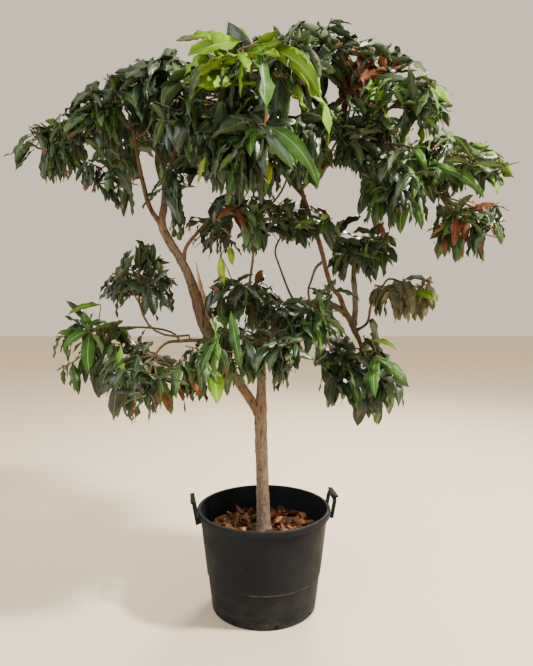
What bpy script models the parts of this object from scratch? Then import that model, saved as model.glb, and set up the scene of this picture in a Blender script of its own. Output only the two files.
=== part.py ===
"""Young mango tree in a round nursery tub with two handles. Metres, +Z up, +X to the viewer's right.

The origin is the middle of the tub's flat underside. Trunk and boughs are tapering tubes, each cut 0.3 mm
clear of the limb that carries it. Each mass of foliage grows from one stem by the same seeded rule:
stem, shoots, and whorls of drooping leaves at the shoots' ends, kept inside the mass's own space.
"""
import math
import random

import bmesh
import bpy
from mathutils import Matrix, Vector
from mathutils.bvhtree import BVHTree

# Clearances
GAP = 0.0003  # between pieces that touch
SPACE_GAP = 0.0006  # between the spaces of neighbouring masses
FLAT = math.radians(0.8)  # faces that lie this close to one plane are one face
SHARP = math.radians(45)  # edges bent further than this are real edges

# Tub
TUB_SIDES = 36
TUB_HEIGHT = 0.377
BASE_RADIUS = 0.196
RIM_RADIUS = 0.250
WALL_TOP_RADIUS = 0.241
WALL = 0.004
FLOOR = 0.005
STEP_HEIGHT = 0.134
STEP_OUT = 0.003
LIP_HEIGHT = 0.022
DRAIN_COUNT = 8
DRAIN_SIZE = 0.011
DRAIN_TURN = math.radians(13)

# Handles
HANDLE_TURN = math.radians(7.5)
HANDLE_HALF_WIDTH = 0.046
STRAP_WIDTH = 0.0130
STRAP_THICK = 0.0115
HANDLE_FOOT_Z = 0.338
HANDLE_TOP_Z = 0.423
HANDLE_FOOT_RADIUS = 0.2500
HANDLE_TOP_RADIUS = 0.2655
HANDLE_CORNER = 0.018
GRIP_WIDTH = 0.0165
GRIP_THICK = 0.0070
GRIP_OVERHANG = 0.0030
GRIP_LIP = 0.0010  # how far the grip stands inside the strap
GUSSET_DEPTH = 0.0200
GUSSET_WIDTH = 0.0100
GUSSET_FOOT = 0.0010  # its foot above the strap's

# Soil
SOIL_TOP = 0.290
SOIL_SWELL = 0.006

# Trunk, from the soil to its tip
TRUNK_FOOT = SOIL_TOP + GAP
TRUNK_SIDES = 14
TRUNK = [  # x, z and radius
    (0.0000, TRUNK_FOOT, 0.0310),
    (-0.0010, 0.312, 0.0268),
    (-0.0030, 0.400, 0.0248),
    (-0.0060, 0.500, 0.0236),
    (-0.0085, 0.580, 0.0230),
    (-0.0090, 0.594, 0.0250),
    (-0.0095, 0.608, 0.0232),
    (-0.0120, 0.700, 0.0236),
    (-0.0110, 0.752, 0.0230),
    (-0.0090, 0.830, 0.0168),
    (-0.0070, 0.985, 0.0145),
]

# Foliage
GOLDEN_ANGLE = math.pi * (3 - math.sqrt(5))
LEAF_THICKNESS = 0.016  # of its length
LEAF_WIDTH = 0.31  # of its length
LEAF_FOLD = 0.12  # how far its edges are folded down, as a share of its width
LEAF_ROOT = 0.0010  # how far a leaf's root passes the middle of its shoot
SHOOT_RADIUS = 0.0046
SHOOT_TIP_RADIUS = 0.0038
STEM_TIP_RADIUS = 0.0052
MOST_DROOP = math.radians(65)
LEAF_REACH = 1.12  # how far leaves may pass the mass's own reach, where no neighbour is
ROOT_FREE = 0.009  # the length at a leaf's root that may cross its neighbours
WHORL_LENGTH = 0.045
SHOOT_TRIES = 8
LEAF_TRIES = [  # turn round the shoot, length as a share, and more droop
    (0, 1, 0), (0.45, 1, 0), (-0.45, 1, 0), (0.9, 0.95, 0.1), (-0.9, 0.95, 0.1),
    (0, 0.75, 0.2), (0.5, 0.75, 0.2), (-0.5, 0.7, 0.3), (1.1, 0.65, 0.3), (-1.1, 0.6, 0.3),
]

HUB_LIFT = 0.30  # how far a stem's end stands above its mass's centre, as a share of the reach
FRUIT_SIZE = Vector((0.0095, 0.0085, 0.0150))  # half of its width, depth and height
STALK_RADIUS = 0.0018

DOWN = Vector((0, 0, -1))
UP = Vector((0, 0, 1))

for old in list(bpy.data.objects):
    bpy.data.objects.remove(old, do_unlink=True)


# Materials and objects

def material(name, colour, roughness):
    made = bpy.data.materials.new(name)
    made.use_nodes = True
    shader = made.node_tree.nodes["Principled BSDF"]
    shader.inputs["Base Color"].default_value = (*colour, 1)
    shader.inputs["Roughness"].default_value = roughness
    made.diffuse_color = (*colour, 1)
    return made


TUB_PLASTIC = material("tub_plastic", (0.020, 0.021, 0.024), 0.55)
POTTING_SOIL = material("potting_soil", (0.075, 0.036, 0.018), 0.95)
TRUNK_BARK = material("trunk_bark", (0.33, 0.24, 0.16), 0.85)
BOUGH_BARK = material("bough_bark", (0.27, 0.17, 0.10), 0.85)
LEAF_GREEN = material("leaf_green", (0.035, 0.085, 0.030), 0.40)
LEAF_BRIGHT = material("leaf_bright", (0.12, 0.26, 0.03), 0.40)
LEAF_WILTED = material("leaf_wilted", (0.12, 0.11, 0.05), 0.75)


def add_object(name, bm, surface=None):
    mesh = bpy.data.meshes.new(name)
    bm.to_mesh(mesh)
    bm.free()
    thing = bpy.data.objects.new(name, mesh)
    bpy.context.scene.collection.objects.link(thing)
    if surface:
        mesh.materials.append(surface)
        shade(mesh)
    return thing


def shade(mesh):
    """Smooth on round sides, sharp at real edges."""
    mesh.shade_smooth()
    mesh.set_sharp_from_angle(angle=SHARP)


def remove(things):
    for thing in things:
        mesh = thing.data
        bpy.data.objects.remove(thing, do_unlink=True)
        bpy.data.meshes.remove(mesh)


def evaluated_bmesh(thing):
    view = thing.evaluated_get(bpy.context.evaluated_depsgraph_get())
    bm = bmesh.new()
    bm.from_mesh(view.to_mesh())
    view.to_mesh_clear()
    return bm


def keep_one_body(bm, flat):
    """Drops loose scraps and the skins of sealed hollows. True if one closed body is left."""
    if flat:
        bmesh.ops.dissolve_limit(bm, angle_limit=flat, verts=bm.verts[:], edges=bm.edges[:])
    bmesh.ops.triangulate(bm, faces=bm.faces[:])
    shells, seen = [], set()
    for first in bm.faces:
        if first in seen:
            continue
        shell, waiting = [], [first]
        seen.add(first)
        while waiting:
            face = waiting.pop()
            shell.append(face)
            for edge in face.edges:
                for near in edge.link_faces:
                    if near not in seen:
                        seen.add(near)
                        waiting.append(near)
        shells.append(shell)
    shells.sort(key=len, reverse=True)
    spare = [face for shell in shells[1:] for face in shell]
    bmesh.ops.delete(bm, geom=spare, context="FACES")
    closed = all(len(edge.link_faces) == 2 for edge in bm.edges)
    return closed and bm.calc_volume(signed=True) > 0


def boolean(target, operation, operand):
    """Applies one Boolean of the target with an object or a collection, and keeps one closed body."""
    change = target.modifiers.new(operation.lower(), "BOOLEAN")
    change.operation = operation
    if isinstance(operand, bpy.types.Collection):
        change.operand_type = "COLLECTION"
        change.collection = operand
    else:
        change.object = operand
    for solver, flat in (("EXACT", FLAT), ("EXACT", 0), ("MANIFOLD", FLAT), ("MANIFOLD", 0)):
        change.solver = solver
        bm = evaluated_bmesh(target)
        whole = keep_one_body(bm, flat)
        if whole:
            target.modifiers.remove(change)
            bm.to_mesh(target.data)
            bm.free()
            return
        bm.free()
    target.modifiers.remove(change)


def cut(target, cutter):
    boolean(target, "DIFFERENCE", cutter)
    remove([cutter])


def fuse(target, pieces):
    """Joins the pieces to the target by one union on a collection, and removes them."""
    group = bpy.data.collections.new(target.name + "_pieces")
    for piece in pieces:
        group.objects.link(piece)
    boolean(target, "UNION", group)
    remove(pieces)
    bpy.data.collections.remove(group)


# Tubes: limbs, stems and shoots are one ring drawn along a path

def frames_along(path, start=None, end=None):
    """A frame for each point of the path, its Z along the path, carried on without twisting."""
    last = len(path) - 1
    tangents = []
    for at in range(len(path)):
        tangents.append((path[min(at + 1, last)] - path[max(at - 1, 0)]).normalized())
    if start:
        tangents[0] = start.normalized()
    if end:
        tangents[-1] = end.normalized()
    side = tangents[0].cross(Vector((0.31, 0.95, 0.05))).normalized()
    frames = []
    for point, tangent in zip(path, tangents):
        side = (side - tangent * side.dot(tangent)).normalized()
        turn = Matrix((side, tangent.cross(side), tangent)).transposed().to_4x4()
        frames.append(Matrix.Translation(point) @ turn)
    return frames


def tube(path, radii, sides, start=None, end=None):
    bm = bmesh.new()
    frames = frames_along(path, start, end)
    bmesh.ops.create_circle(bm, cap_ends=True, segments=sides, radius=radii[0], matrix=frames[0])
    front = bm.faces[:][0]
    for near, far, grow in zip(frames, frames[1:], [b / a for a, b in zip(radii, radii[1:])]):
        made = bmesh.ops.extrude_face_region(bm, geom=[front, *front.edges, *front.verts])["geom"]
        front = next(item for item in made if isinstance(item, bmesh.types.BMFace))
        move = far @ Matrix.Scale(grow, 4) @ near.inverted()
        bmesh.ops.transform(bm, matrix=move, verts=front.verts[:])
    bmesh.ops.triangulate(bm, faces=bm.faces[:])
    bmesh.ops.recalc_face_normals(bm, faces=bm.faces[:])
    if bm.calc_volume(signed=True) < 0:
        bmesh.ops.reverse_faces(bm, faces=bm.faces[:])
    return bm


def smooth_path(points, values, steps):
    """A Catmull-Rom curve through the points, with the values carried along it evenly."""
    path, carried = [], []
    for at in range(len(points) - 1):
        b, c = points[at], points[at + 1]
        a = points[at - 1] if at else b - (c - b)
        d = points[at + 2] if at + 2 < len(points) else c + (c - b)
        for step in range(steps):
            t = step / steps
            path.append(0.5 * (2 * b + (c - a) * t + (2 * a - 5 * b + 4 * c - d) * t * t
                               + (3 * b - a - 3 * c + d) * t ** 3))
            carried.append(values[at] + (values[at + 1] - values[at]) * t)
    return path + [points[-1]], carried + [values[-1]]


# Tub: a turned shell with a rolled lip, a stacking step and drain holes round its foot

def wall_radius(z):
    slope = (WALL_TOP_RADIUS - STEP_OUT - BASE_RADIUS) / TUB_HEIGHT
    return BASE_RADIUS + slope * z + (STEP_OUT if z > STEP_HEIGHT else 0)


def turned(profile, sides):
    """Spins a closed profile of (radius, z) points about the Z axis."""
    bm = bmesh.new()
    verts = [bm.verts.new((radius, 0, z)) for radius, z in profile]
    edges = [bm.edges.new(pair) for pair in zip(verts, verts[1:])]
    bmesh.ops.spin(bm, geom=verts + edges, axis=UP, angle=math.tau, steps=sides, use_merge=True)
    bmesh.ops.remove_doubles(bm, verts=bm.verts[:], dist=1e-6)
    bmesh.ops.recalc_face_normals(bm, faces=bm.faces[:])
    return bm


def make_tub():
    lip_foot = TUB_HEIGHT - LIP_HEIGHT
    inner_low = wall_radius(FLOOR) - WALL
    inner_top = wall_radius(TUB_HEIGHT) - WALL
    chamfer = 0.004
    outer = [
        (0, 0),
        (BASE_RADIUS - chamfer, 0),
        (wall_radius(chamfer), chamfer),
        (wall_radius(STEP_HEIGHT), STEP_HEIGHT),
        (wall_radius(STEP_HEIGHT + STEP_OUT), STEP_HEIGHT + STEP_OUT),
        (wall_radius(lip_foot), lip_foot),
        (RIM_RADIUS - 0.002, lip_foot),
        (RIM_RADIUS, lip_foot + 0.004),
        (RIM_RADIUS, TUB_HEIGHT - 0.006),
        (RIM_RADIUS - 0.004, TUB_HEIGHT - 0.001),
        (RIM_RADIUS - 0.008, TUB_HEIGHT),
    ]
    inner = [(inner_top, TUB_HEIGHT - 0.003), (inner_low, FLOOR), (0, FLOOR)]
    tub = add_object("tub", turned(outer + inner, TUB_SIDES), TUB_PLASTIC)
    cutter = bmesh.new()
    for hole in range(DRAIN_COUNT):
        turn = Matrix.Rotation(DRAIN_TURN + hole * math.tau / DRAIN_COUNT, 4, "Z")
        place = Matrix.Translation((BASE_RADIUS - WALL / 2, 0, FLOOR + DRAIN_SIZE * 0.75))
        size = Matrix.Diagonal((WALL * 5, DRAIN_SIZE, DRAIN_SIZE, 1))
        bmesh.ops.create_cube(cutter, size=1, matrix=turn @ place @ size)
    cut(tub, add_object("drain_cutter", cutter))


def strap(line, width, thick):
    """A flat strap along a line of (y, z) points, square in section, its middle in the plane x = 0."""
    last = len(line) - 1
    bm = bmesh.new()
    bmesh.ops.create_grid(bm, x_segments=1, y_segments=last, size=1)
    for vert in bm.verts:
        at = round((vert.co.y + 1) / 2 * last)
        along = (line[min(at + 1, last)] - line[max(at - 1, 0)]).normalized()
        y, z = line[at] + Vector((along.y, -along.x)) * vert.co.x * width / 2
        vert.co = (-thick / 2, y, z)
    made = bmesh.ops.extrude_face_region(bm, geom=bm.faces[:])["geom"]
    front = [item for item in made if isinstance(item, bmesh.types.BMVert)]
    bmesh.ops.translate(bm, vec=(thick, 0, 0), verts=front)
    bmesh.ops.recalc_face_normals(bm, faces=bm.faces[:])
    return bm


def block(low, high):
    bm = bmesh.new()
    middle = (Vector(low) + Vector(high)) / 2
    size = Vector(high) - Vector(low)
    bmesh.ops.create_cube(bm, size=1, matrix=Matrix.Translation(middle) @ Matrix.Diagonal((*size, 1)))
    return bm


def make_handle(name, turn):
    """An upright loop of strap that leans outwards, a wide grip on top, cut to the lip and the wall."""
    lean = math.atan2(HANDLE_TOP_RADIUS - HANDLE_FOOT_RADIUS, HANDLE_TOP_Z - HANDLE_FOOT_Z)
    tall = (HANDLE_TOP_Z - HANDLE_FOOT_Z) / math.cos(lean)
    leg = tall - GRIP_THICK - STRAP_WIDTH / 2 - HANDLE_CORNER
    shoulder = HANDLE_HALF_WIDTH - HANDLE_CORNER
    half = [Vector((HANDLE_HALF_WIDTH, 0))]
    for turned_by in (0, 30, 60, 90):
        angle = math.radians(turned_by)
        out, up = HANDLE_CORNER * math.cos(angle), HANDLE_CORNER * math.sin(angle)
        half.append(Vector((shoulder + out, leg + up)))
    line = half + [Vector((-wide, up)) for wide, up in reversed(half)]
    long = HANDLE_HALF_WIDTH + GRIP_OVERHANG
    inner = -STRAP_THICK / 2 - GRIP_LIP
    pieces = [block((inner, -long, tall - GRIP_THICK - GAP), (inner + GRIP_WIDTH, long, tall))]
    for middle in (-HANDLE_HALF_WIDTH, HANDLE_HALF_WIDTH):
        low = (-GUSSET_DEPTH, middle - GUSSET_WIDTH / 2, GUSSET_FOOT)
        high = (0, middle + GUSSET_WIDTH / 2, GUSSET_DEPTH)
        pieces.append(block(low, high))
    place = Matrix.Rotation(turn, 4, "Z") @ Matrix.Translation((HANDLE_FOOT_RADIUS, 0, HANDLE_FOOT_Z))
    place = place @ Matrix.Rotation(lean, 4, "Y")
    body = strap(line, STRAP_WIDTH, STRAP_THICK)
    for bm in (body, *pieces):
        bmesh.ops.transform(bm, matrix=place, verts=bm.verts[:])
    handle = add_object(name, body, TUB_PLASTIC)
    fuse(handle, [add_object("handle_piece", bm) for bm in pieces])
    lip_foot = TUB_HEIGHT - LIP_HEIGHT
    low = HANDLE_FOOT_Z - 0.02
    around = [
        (0, low),
        (wall_radius(low) + GAP, low),
        (wall_radius(lip_foot) + GAP, lip_foot - GAP),
        (RIM_RADIUS + GAP, lip_foot - GAP),
        (RIM_RADIUS + GAP, TUB_HEIGHT + GAP),
        (0, TUB_HEIGHT + GAP),
    ]
    cut(handle, add_object("tub_cutter", turned(around, TUB_SIDES)))
    shade(handle.data)


def make_soil():
    """The filling, clear of the tub all round, flat under the trunk and a little lower at its edge."""
    low = FLOOR + GAP
    clear = WALL + GAP * 2
    profile = [
        (0, low),
        (wall_radius(low) - clear, low),
        (wall_radius(SOIL_TOP) - STEP_OUT - clear, SOIL_TOP - SOIL_SWELL),
        (0.11, SOIL_TOP - SOIL_SWELL / 4),
        (0.05, SOIL_TOP),
        (0, SOIL_TOP),
    ]
    add_object("soil", turned(profile, TUB_SIDES), POTTING_SOIL)


make_tub()
make_handle("handle_right", HANDLE_TURN)
make_handle("handle_left", HANDLE_TURN + math.pi)
make_soil()


# Trunk and boughs

limbs = {}


def make_limb(name, points, radii, sides, surface, steps, start=None, parent=None):
    """A tapering limb. It starts inside its parent, which is then cut out of it, or at its parent's tip."""
    points = [Vector(point) for point in points]
    path, widths = smooth_path(points, radii, steps)
    limb = add_object(name, tube(path, widths, sides, start=start), surface)
    if parent and not start:
        cut(limb, swollen(limbs[parent], GAP))
        shade(limb.data)
    limbs[name] = {"path": path, "widths": widths, "sides": sides, "start": start, "object": limb}


def swollen(limb, by):
    """A copy of a limb, thicker all round."""
    widths = [width + by for width in limb["widths"]]
    return add_object("swollen", tube(limb["path"], widths, limb["sides"], limb["start"]))


def tip_of(limb):
    """A point just clear of the limb's flat tip, and the way the limb runs there."""
    path = limb["path"]
    along = (path[-1] - path[-2]).normalized()
    return path[-1] + along * GAP, along


trunk_points = [(x, 0, z) for x, z, _ in TRUNK]
trunk_radii = [radius for _, _, radius in TRUNK]
make_limb("trunk", trunk_points, trunk_radii, TRUNK_SIDES, TRUNK_BARK, 1, start=UP)

# Each bough: its name, the limb that carries it, whether it goes on from that limb's tip, its points, and
# its radius at each point, the first of them at the tip it goes on from
BOUGHS = [
    ("left_bough", "trunk", False,
     [(-0.012, 0, 0.725), (-0.067, -0.010, 0.812), (-0.159, -0.030, 0.957), (-0.215, -0.045, 1.070),
      (-0.255, -0.060, 1.211)],
     [0.0170, 0.0172, 0.0200, 0.0240, 0.0185]),
    ("upper_left_bough", "left_bough", True,
     [(-0.292, -0.070, 1.296), (-0.354, -0.068, 1.405), (-0.351, -0.060, 1.490), (-0.343, -0.020, 1.600),
      (-0.300, 0.010, 1.740)],
     [0.0175, 0.0155, 0.0150, 0.0125, 0.0105, 0.0080]),
    ("far_left_branch", "upper_left_bough", False,
     [(-0.354, -0.068, 1.408), (-0.398, -0.082, 1.480), (-0.420, -0.090, 1.570), (-0.452, -0.100, 1.740)],
     [0.0090, 0.0086, 0.0080, 0.0058]),
    ("left_wing_branch", "far_left_branch", True,
     [(-0.520, -0.100, 1.800), (-0.620, -0.085, 1.795), (-0.700, -0.070, 1.760)],
     [0.0056, 0.0052, 0.0046, 0.0040]),
    ("inner_spur", "upper_left_bough", False,
     [(-0.285, -0.069, 1.290), (-0.272, -0.070, 1.343), (-0.230, -0.060, 1.398)],
     [0.0072, 0.0068, 0.0058]),
    ("left_low_limb", "left_bough", False,
     [(-0.172, -0.034, 0.985), (-0.235, -0.070, 1.010), (-0.310, -0.100, 1.010)],
     [0.0085, 0.0075, 0.0060]),
    ("right_bough", "trunk", False,
     [(-0.0075, 0, 0.950), (0.042, 0.050, 1.048), (0.138, 0.100, 1.122), (0.237, 0.130, 1.135),
      (0.320, 0.150, 1.095), (0.364, 0.160, 1.015)],
     [0.0125, 0.0142, 0.0138, 0.0132, 0.0128, 0.0120]),
    ("right_leader", "right_bough", False,
     [(0.322, 0.150, 1.090), (0.294, 0.120, 1.160), (0.253, 0.100, 1.215), (0.206, 0.060, 1.370),
      (0.140, 0.020, 1.546), (0.120, 0.000, 1.660), (0.135, 0.000, 1.800)],
     [0.0105, 0.0098, 0.0092, 0.0085, 0.0078, 0.0070, 0.0055]),
    ("grey_limb", "right_bough", False,
     [(0.352, 0.159, 1.050), (0.366, 0.200, 1.120), (0.358, 0.202, 1.230)],
     [0.0115, 0.0120, 0.0115]),
    ("right_twig", "right_bough", False,
     [(0.361, 0.159, 1.027), (0.402, 0.130, 1.062), (0.418, 0.125, 1.140), (0.462, 0.112, 1.212)],
     [0.0056, 0.0054, 0.0050, 0.0044]),
    ("centre_stem", "trunk", True,
     [(-0.030, -0.010, 1.070), (-0.052, -0.020, 1.180), (-0.040, -0.015, 1.300)],
     [0.0075, 0.0062, 0.0050, 0.0046]),
    ("slender_stem", "right_bough", False,
     [(0.130, 0.098, 1.119), (0.092, 0.070, 1.190), (0.050, 0.050, 1.300)],
     [0.0055, 0.0044, 0.0038]),
    ("arc_twig", "right_leader", False,
     [(0.228, 0.080, 1.298), (0.195, 0.050, 1.272), (0.172, 0.020, 1.215)],
     [0.0058, 0.0052, 0.0045]),
    ("front_bough", "right_leader", False,
     [(0.121, 0.002, 1.640), (0.090, -0.120, 1.730), (0.040, -0.260, 1.790), (0.000, -0.360, 1.830)],
     [0.0066, 0.0062, 0.0056, 0.0048]),
    ("right_wing_bough", "right_leader", False,
     [(0.136, 0.018, 1.560), (0.270, 0.000, 1.665), (0.400, -0.060, 1.700), (0.560, -0.100, 1.670)],
     [0.0072, 0.0068, 0.0060, 0.0048]),
    ("back_left_bough", "upper_left_bough", False,
     [(-0.344, -0.022, 1.595), (-0.400, 0.120, 1.700), (-0.450, 0.240, 1.760)],
     [0.0085, 0.0070, 0.0052]),
    ("back_bough", "right_leader", False,
     [(0.148, 0.024, 1.528), (0.060, 0.160, 1.650), (-0.040, 0.300, 1.760)],
     [0.0070, 0.0062, 0.0050]),
    ("back_right_bough", "right_leader", False,
     [(0.120, 0.001, 1.690), (0.240, 0.130, 1.760), (0.330, 0.250, 1.790)],
     [0.0060, 0.0056, 0.0050]),
]

for name, parent, goes_on, points, radii in BOUGHS:
    start = None
    if goes_on:
        first, start = tip_of(limbs[parent])
        points = [first, *points]
    sides = 10 if radii[0] > 0.012 else 8 if radii[0] > 0.008 else 6
    steps = 1 if len(points) > 5 else 2
    make_limb(name, points, radii, sides, BOUGH_BARK, steps, start, parent)


def add_splinter(limb):
    """The torn sliver of bare wood that stands up from the inner side of the left bough."""
    points = [
        Vector((-0.200, -0.050, 1.075)),
        Vector((-0.212, -0.052, 1.150)),
        Vector((-0.229, -0.054, 1.220)),
        Vector((-0.241, -0.055, 1.290)),
    ]
    path, widths = smooth_path(points, [0.010, 0.009, 0.006, 0.0015], 2)
    fuse(limb, [add_object("splinter", tube(path, widths, 5))])
    shade(limb.data)


add_splinter(limbs["left_bough"]["object"])


# Foliage: each mass has its own space, an ellipsoid cut flat where it meets its neighbours

class Mass:
    """One mass: the limb and place it grows from, its centre and reach, and how much it bears.

    place is "tip" or how far along the limb the stem stands, length is a leaf's, hang is how far its leaves
    droop, from 0 to 1, tips are points that a leaf must reach, and fruits are where fruits hang.
    """

    def __init__(self, name, limb, place, centre, reach, shoots, leaves, length, hang=0.55, tips=(),
                 fruits=(), surface=LEAF_GREEN):
        self.name = name
        self.limb = limbs[limb]
        self.place = place
        self.centre = Vector(centre)
        self.reach = Vector(reach)
        self.shoots = shoots
        self.leaves = leaves
        self.length = length
        self.hang = hang
        self.tips = [Vector(tip) for tip in tips]
        self.fruits = [Vector(fruit) for fruit in fruits]
        self.surface = surface
        self.hub = self.centre + UP * self.reach.z * HUB_LIFT
        self.weight = (self.reach.x * self.reach.y * self.reach.z) ** (2 / 3)

    def holds(self, point):
        """True if the point is in this mass's ellipsoid and nearer to it than to any other mass."""
        away = point - self.centre
        if sum((away[axis] / self.reach[axis]) ** 2 for axis in range(3)) > LEAF_REACH ** 2:
            return False
        mine = away.length_squared - self.weight
        for other in masses:
            if other is self:
                continue
            theirs = (point - other.centre).length_squared - other.weight
            if mine > theirs - 2 * SPACE_GAP * (other.centre - self.centre).length:
                return False
        return True


masses = [
    Mass("foliage_left_tip", "left_wing_branch", "tip", (-0.770, -0.05, 1.69), (0.135, 0.17, 0.125), 3, 5,
         0.18,
         tips=[(-0.915, -0.05, 1.665), (-0.86, -0.09, 1.600), (-0.74, -0.05, 1.575)]),
    Mass("foliage_left_wing", "left_wing_branch", 0.45, (-0.58, -0.09, 1.77), (0.15, 0.22, 0.14), 4, 5,
         0.20),
    Mass("foliage_left_shoulder", "far_left_branch", 0.92, (-0.38, -0.12, 1.85), (0.15, 0.24, 0.14), 3, 5,
         0.21),
    Mass("foliage_left_hang", "far_left_branch", 0.55, (-0.515, -0.10, 1.58), (0.11, 0.14, 0.15), 3, 4,
         0.18,
         hang=0.8),
    Mass("foliage_left_inner", "upper_left_bough", 0.66, (-0.32, -0.04, 1.545), (0.11, 0.16, 0.215), 3, 4,
         0.18,
         hang=0.8, fruits=[(-0.322, -0.020, 1.410), (-0.303, -0.036, 1.398), (-0.296, -0.008, 1.415)]),
    Mass("foliage_heart", "upper_left_bough", "tip", (-0.21, 0.08, 1.88), (0.21, 0.22, 0.14), 4, 5, 0.22,
         hang=0.4),
    Mass("foliage_centre_left", "front_bough", 0.62, (-0.18, -0.23, 1.74), (0.16, 0.22, 0.18), 4, 5, 0.23,
         hang=0.7),
    Mass("foliage_top_front", "front_bough", "tip", (-0.02, -0.46, 1.81), (0.20, 0.19, 0.135), 3, 5, 0.22,
         hang=0.35, surface=LEAF_BRIGHT,
         tips=[(-0.11, -0.43, 1.945), (0.01, -0.55, 1.68), (0.175, -0.44, 1.73)]),
    Mass("foliage_centre_front", "front_bough", 0.80, (-0.04, -0.34, 1.62), (0.16, 0.20, 0.16), 4, 4, 0.21,
         hang=0.8),
    Mass("foliage_centre_right", "front_bough", 0.30, (0.12, -0.17, 1.68), (0.14, 0.19, 0.16), 3, 5, 0.21,
         hang=0.7),
    Mass("foliage_top_right", "right_leader", "tip", (0.14, 0.00, 1.975), (0.20, 0.24, 0.14), 4, 5, 0.22,
         hang=0.35, tips=[(0.15, 0.00, 2.125), (0.26, 0.00, 2.095)]),
    Mass("foliage_right_upper", "right_wing_bough", 0.45, (0.39, -0.03, 1.91), (0.15, 0.24, 0.12), 4, 4,
         0.19,
         hang=0.4, tips=[(0.43, -0.04, 2.035), (0.535, -0.05, 1.95)]),
    Mass("foliage_right_inner", "right_wing_bough", 0.30, (0.28, -0.10, 1.69), (0.13, 0.20, 0.15), 3, 5,
         0.19,
         hang=0.7),
    Mass("foliage_right_rosette", "right_wing_bough", 0.60, (0.46, -0.19, 1.78), (0.15, 0.18, 0.125), 3, 5,
         0.18,
         tips=[(0.60, -0.20, 1.80)]),
    Mass("foliage_right_hanging", "right_wing_bough", 0.74, (0.45, -0.14, 1.54), (0.15, 0.20, 0.15), 4, 4,
         0.21,
         hang=0.8),
    Mass("foliage_right_wing", "right_wing_bough", "tip", (0.68, -0.10, 1.62), (0.165, 0.20, 0.11), 4, 4,
         0.18,
         hang=0.35, tips=[(0.855, -0.10, 1.58), (0.77, -0.10, 1.70)]),
    Mass("foliage_right_tip", "right_wing_bough", 0.95, (0.70, -0.08, 1.42), (0.13, 0.17, 0.14), 3, 5, 0.18,
         hang=0.8, tips=[(0.775, -0.08, 1.29)]),
    Mass("foliage_mid_left", "inner_spur", "tip", (-0.135, -0.03, 1.42), (0.145, 0.18, 0.12), 3, 5, 0.17),
    Mass("foliage_mid_centre", "centre_stem", "tip", (-0.01, -0.02, 1.43), (0.13, 0.19, 0.13), 3, 5, 0.17),
    Mass("foliage_mid_right", "slender_stem", "tip", (0.16, 0.05, 1.43), (0.13, 0.18, 0.12), 3, 5, 0.17),
    Mass("foliage_right_mid", "grey_limb", "tip", (0.37, 0.17, 1.34), (0.14, 0.17, 0.13), 3, 5, 0.18),
    Mass("foliage_wilted", "right_twig", "tip", (0.53, 0.11, 1.18), (0.12, 0.13, 0.12), 3, 4, 0.15,
         hang=1.0, surface=LEAF_WILTED),
    Mass("foliage_low_right", "right_bough", "tip", (0.38, 0.10, 0.87), (0.17, 0.20, 0.19), 4, 5, 0.23,
         hang=0.8, tips=[(0.43, 0.10, 0.67)]),
    Mass("foliage_arc", "arc_twig", "tip", (0.17, -0.03, 1.10), (0.17, 0.16, 0.14), 3, 5, 0.19, hang=0.7),
    Mass("foliage_centre", "centre_stem", 0.62, (-0.09, 0.01, 1.16), (0.14, 0.18, 0.12), 3, 5, 0.17,
         hang=0.7),
    Mass("foliage_centre_low", "centre_stem", 0.12, (0.02, -0.13, 0.98), (0.15, 0.17, 0.14), 3, 5, 0.19,
         hang=0.8),
    Mass("foliage_left_of_trunk", "left_bough", 0.55, (-0.17, -0.15, 0.95), (0.11, 0.15, 0.16), 3, 4, 0.18,
         hang=0.9),
    Mass("foliage_left_shoot", "left_low_limb", 0.70, (-0.43, -0.12, 1.21), (0.13, 0.16, 0.13), 3, 5, 0.17,
         hang=0.5, tips=[(-0.44, -0.12, 1.345)]),
    Mass("foliage_left_spray", "left_low_limb", 0.90, (-0.60, -0.10, 1.00), (0.12, 0.15, 0.18), 3, 5, 0.17,
         hang=0.7, tips=[(-0.70, -0.10, 1.10), (-0.59, -0.10, 0.81)]),
    Mass("foliage_left_low", "left_low_limb", "tip", (-0.39, -0.15, 0.89), (0.17, 0.20, 0.155), 4, 5, 0.19,
         hang=0.8, tips=[(-0.45, -0.15, 0.73)]),
    Mass("foliage_back_left", "back_left_bough", "tip", (-0.50, 0.33, 1.80), (0.23, 0.24, 0.18), 4, 4,
         0.23),
    Mass("foliage_back", "back_bough", "tip", (-0.10, 0.41, 1.83), (0.24, 0.24, 0.19), 4, 4, 0.23),
    Mass("foliage_back_right", "back_right_bough", "tip", (0.35, 0.34, 1.82), (0.24, 0.24, 0.19), 4, 4,
         0.23),
    Mass("foliage_right_back", "back_right_bough", 0.80, (0.59, 0.19, 1.65), (0.17, 0.20, 0.14), 3, 4,
         0.20),
    Mass("foliage_back_mid", "back_bough", 0.35, (-0.01, 0.28, 1.46), (0.14, 0.16, 0.14), 3, 4, 0.19,
         hang=0.7),
    Mass("foliage_back_low", "right_bough", 0.30, (0.06, 0.25, 1.07), (0.13, 0.15, 0.14), 3, 4, 0.19,
         hang=0.7),
]


def search_tree(things):
    """One search tree over all the things."""
    bm = bmesh.new()
    for thing in things:
        bm.from_mesh(thing.data)
    tree = BVHTree.FromBMesh(bm)
    bm.free()
    return tree


swollen_limbs = [swollen(limb, GAP * 0.6) for limb in limbs.values()]
barrier = search_tree(swollen_limbs + [bpy.data.objects["tub"], bpy.data.objects["soil"]])
remove(swollen_limbs)


def touches(bm, mass):
    """True if the piece meets a limb, the tub, the soil or another mass's stem."""
    tree = BVHTree.FromBMesh(bm)
    if tree.overlap(barrier):
        return True
    return any(tree.overlap(stem) for owner, stem in stem_trees.items() if owner != mass.name)


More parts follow.
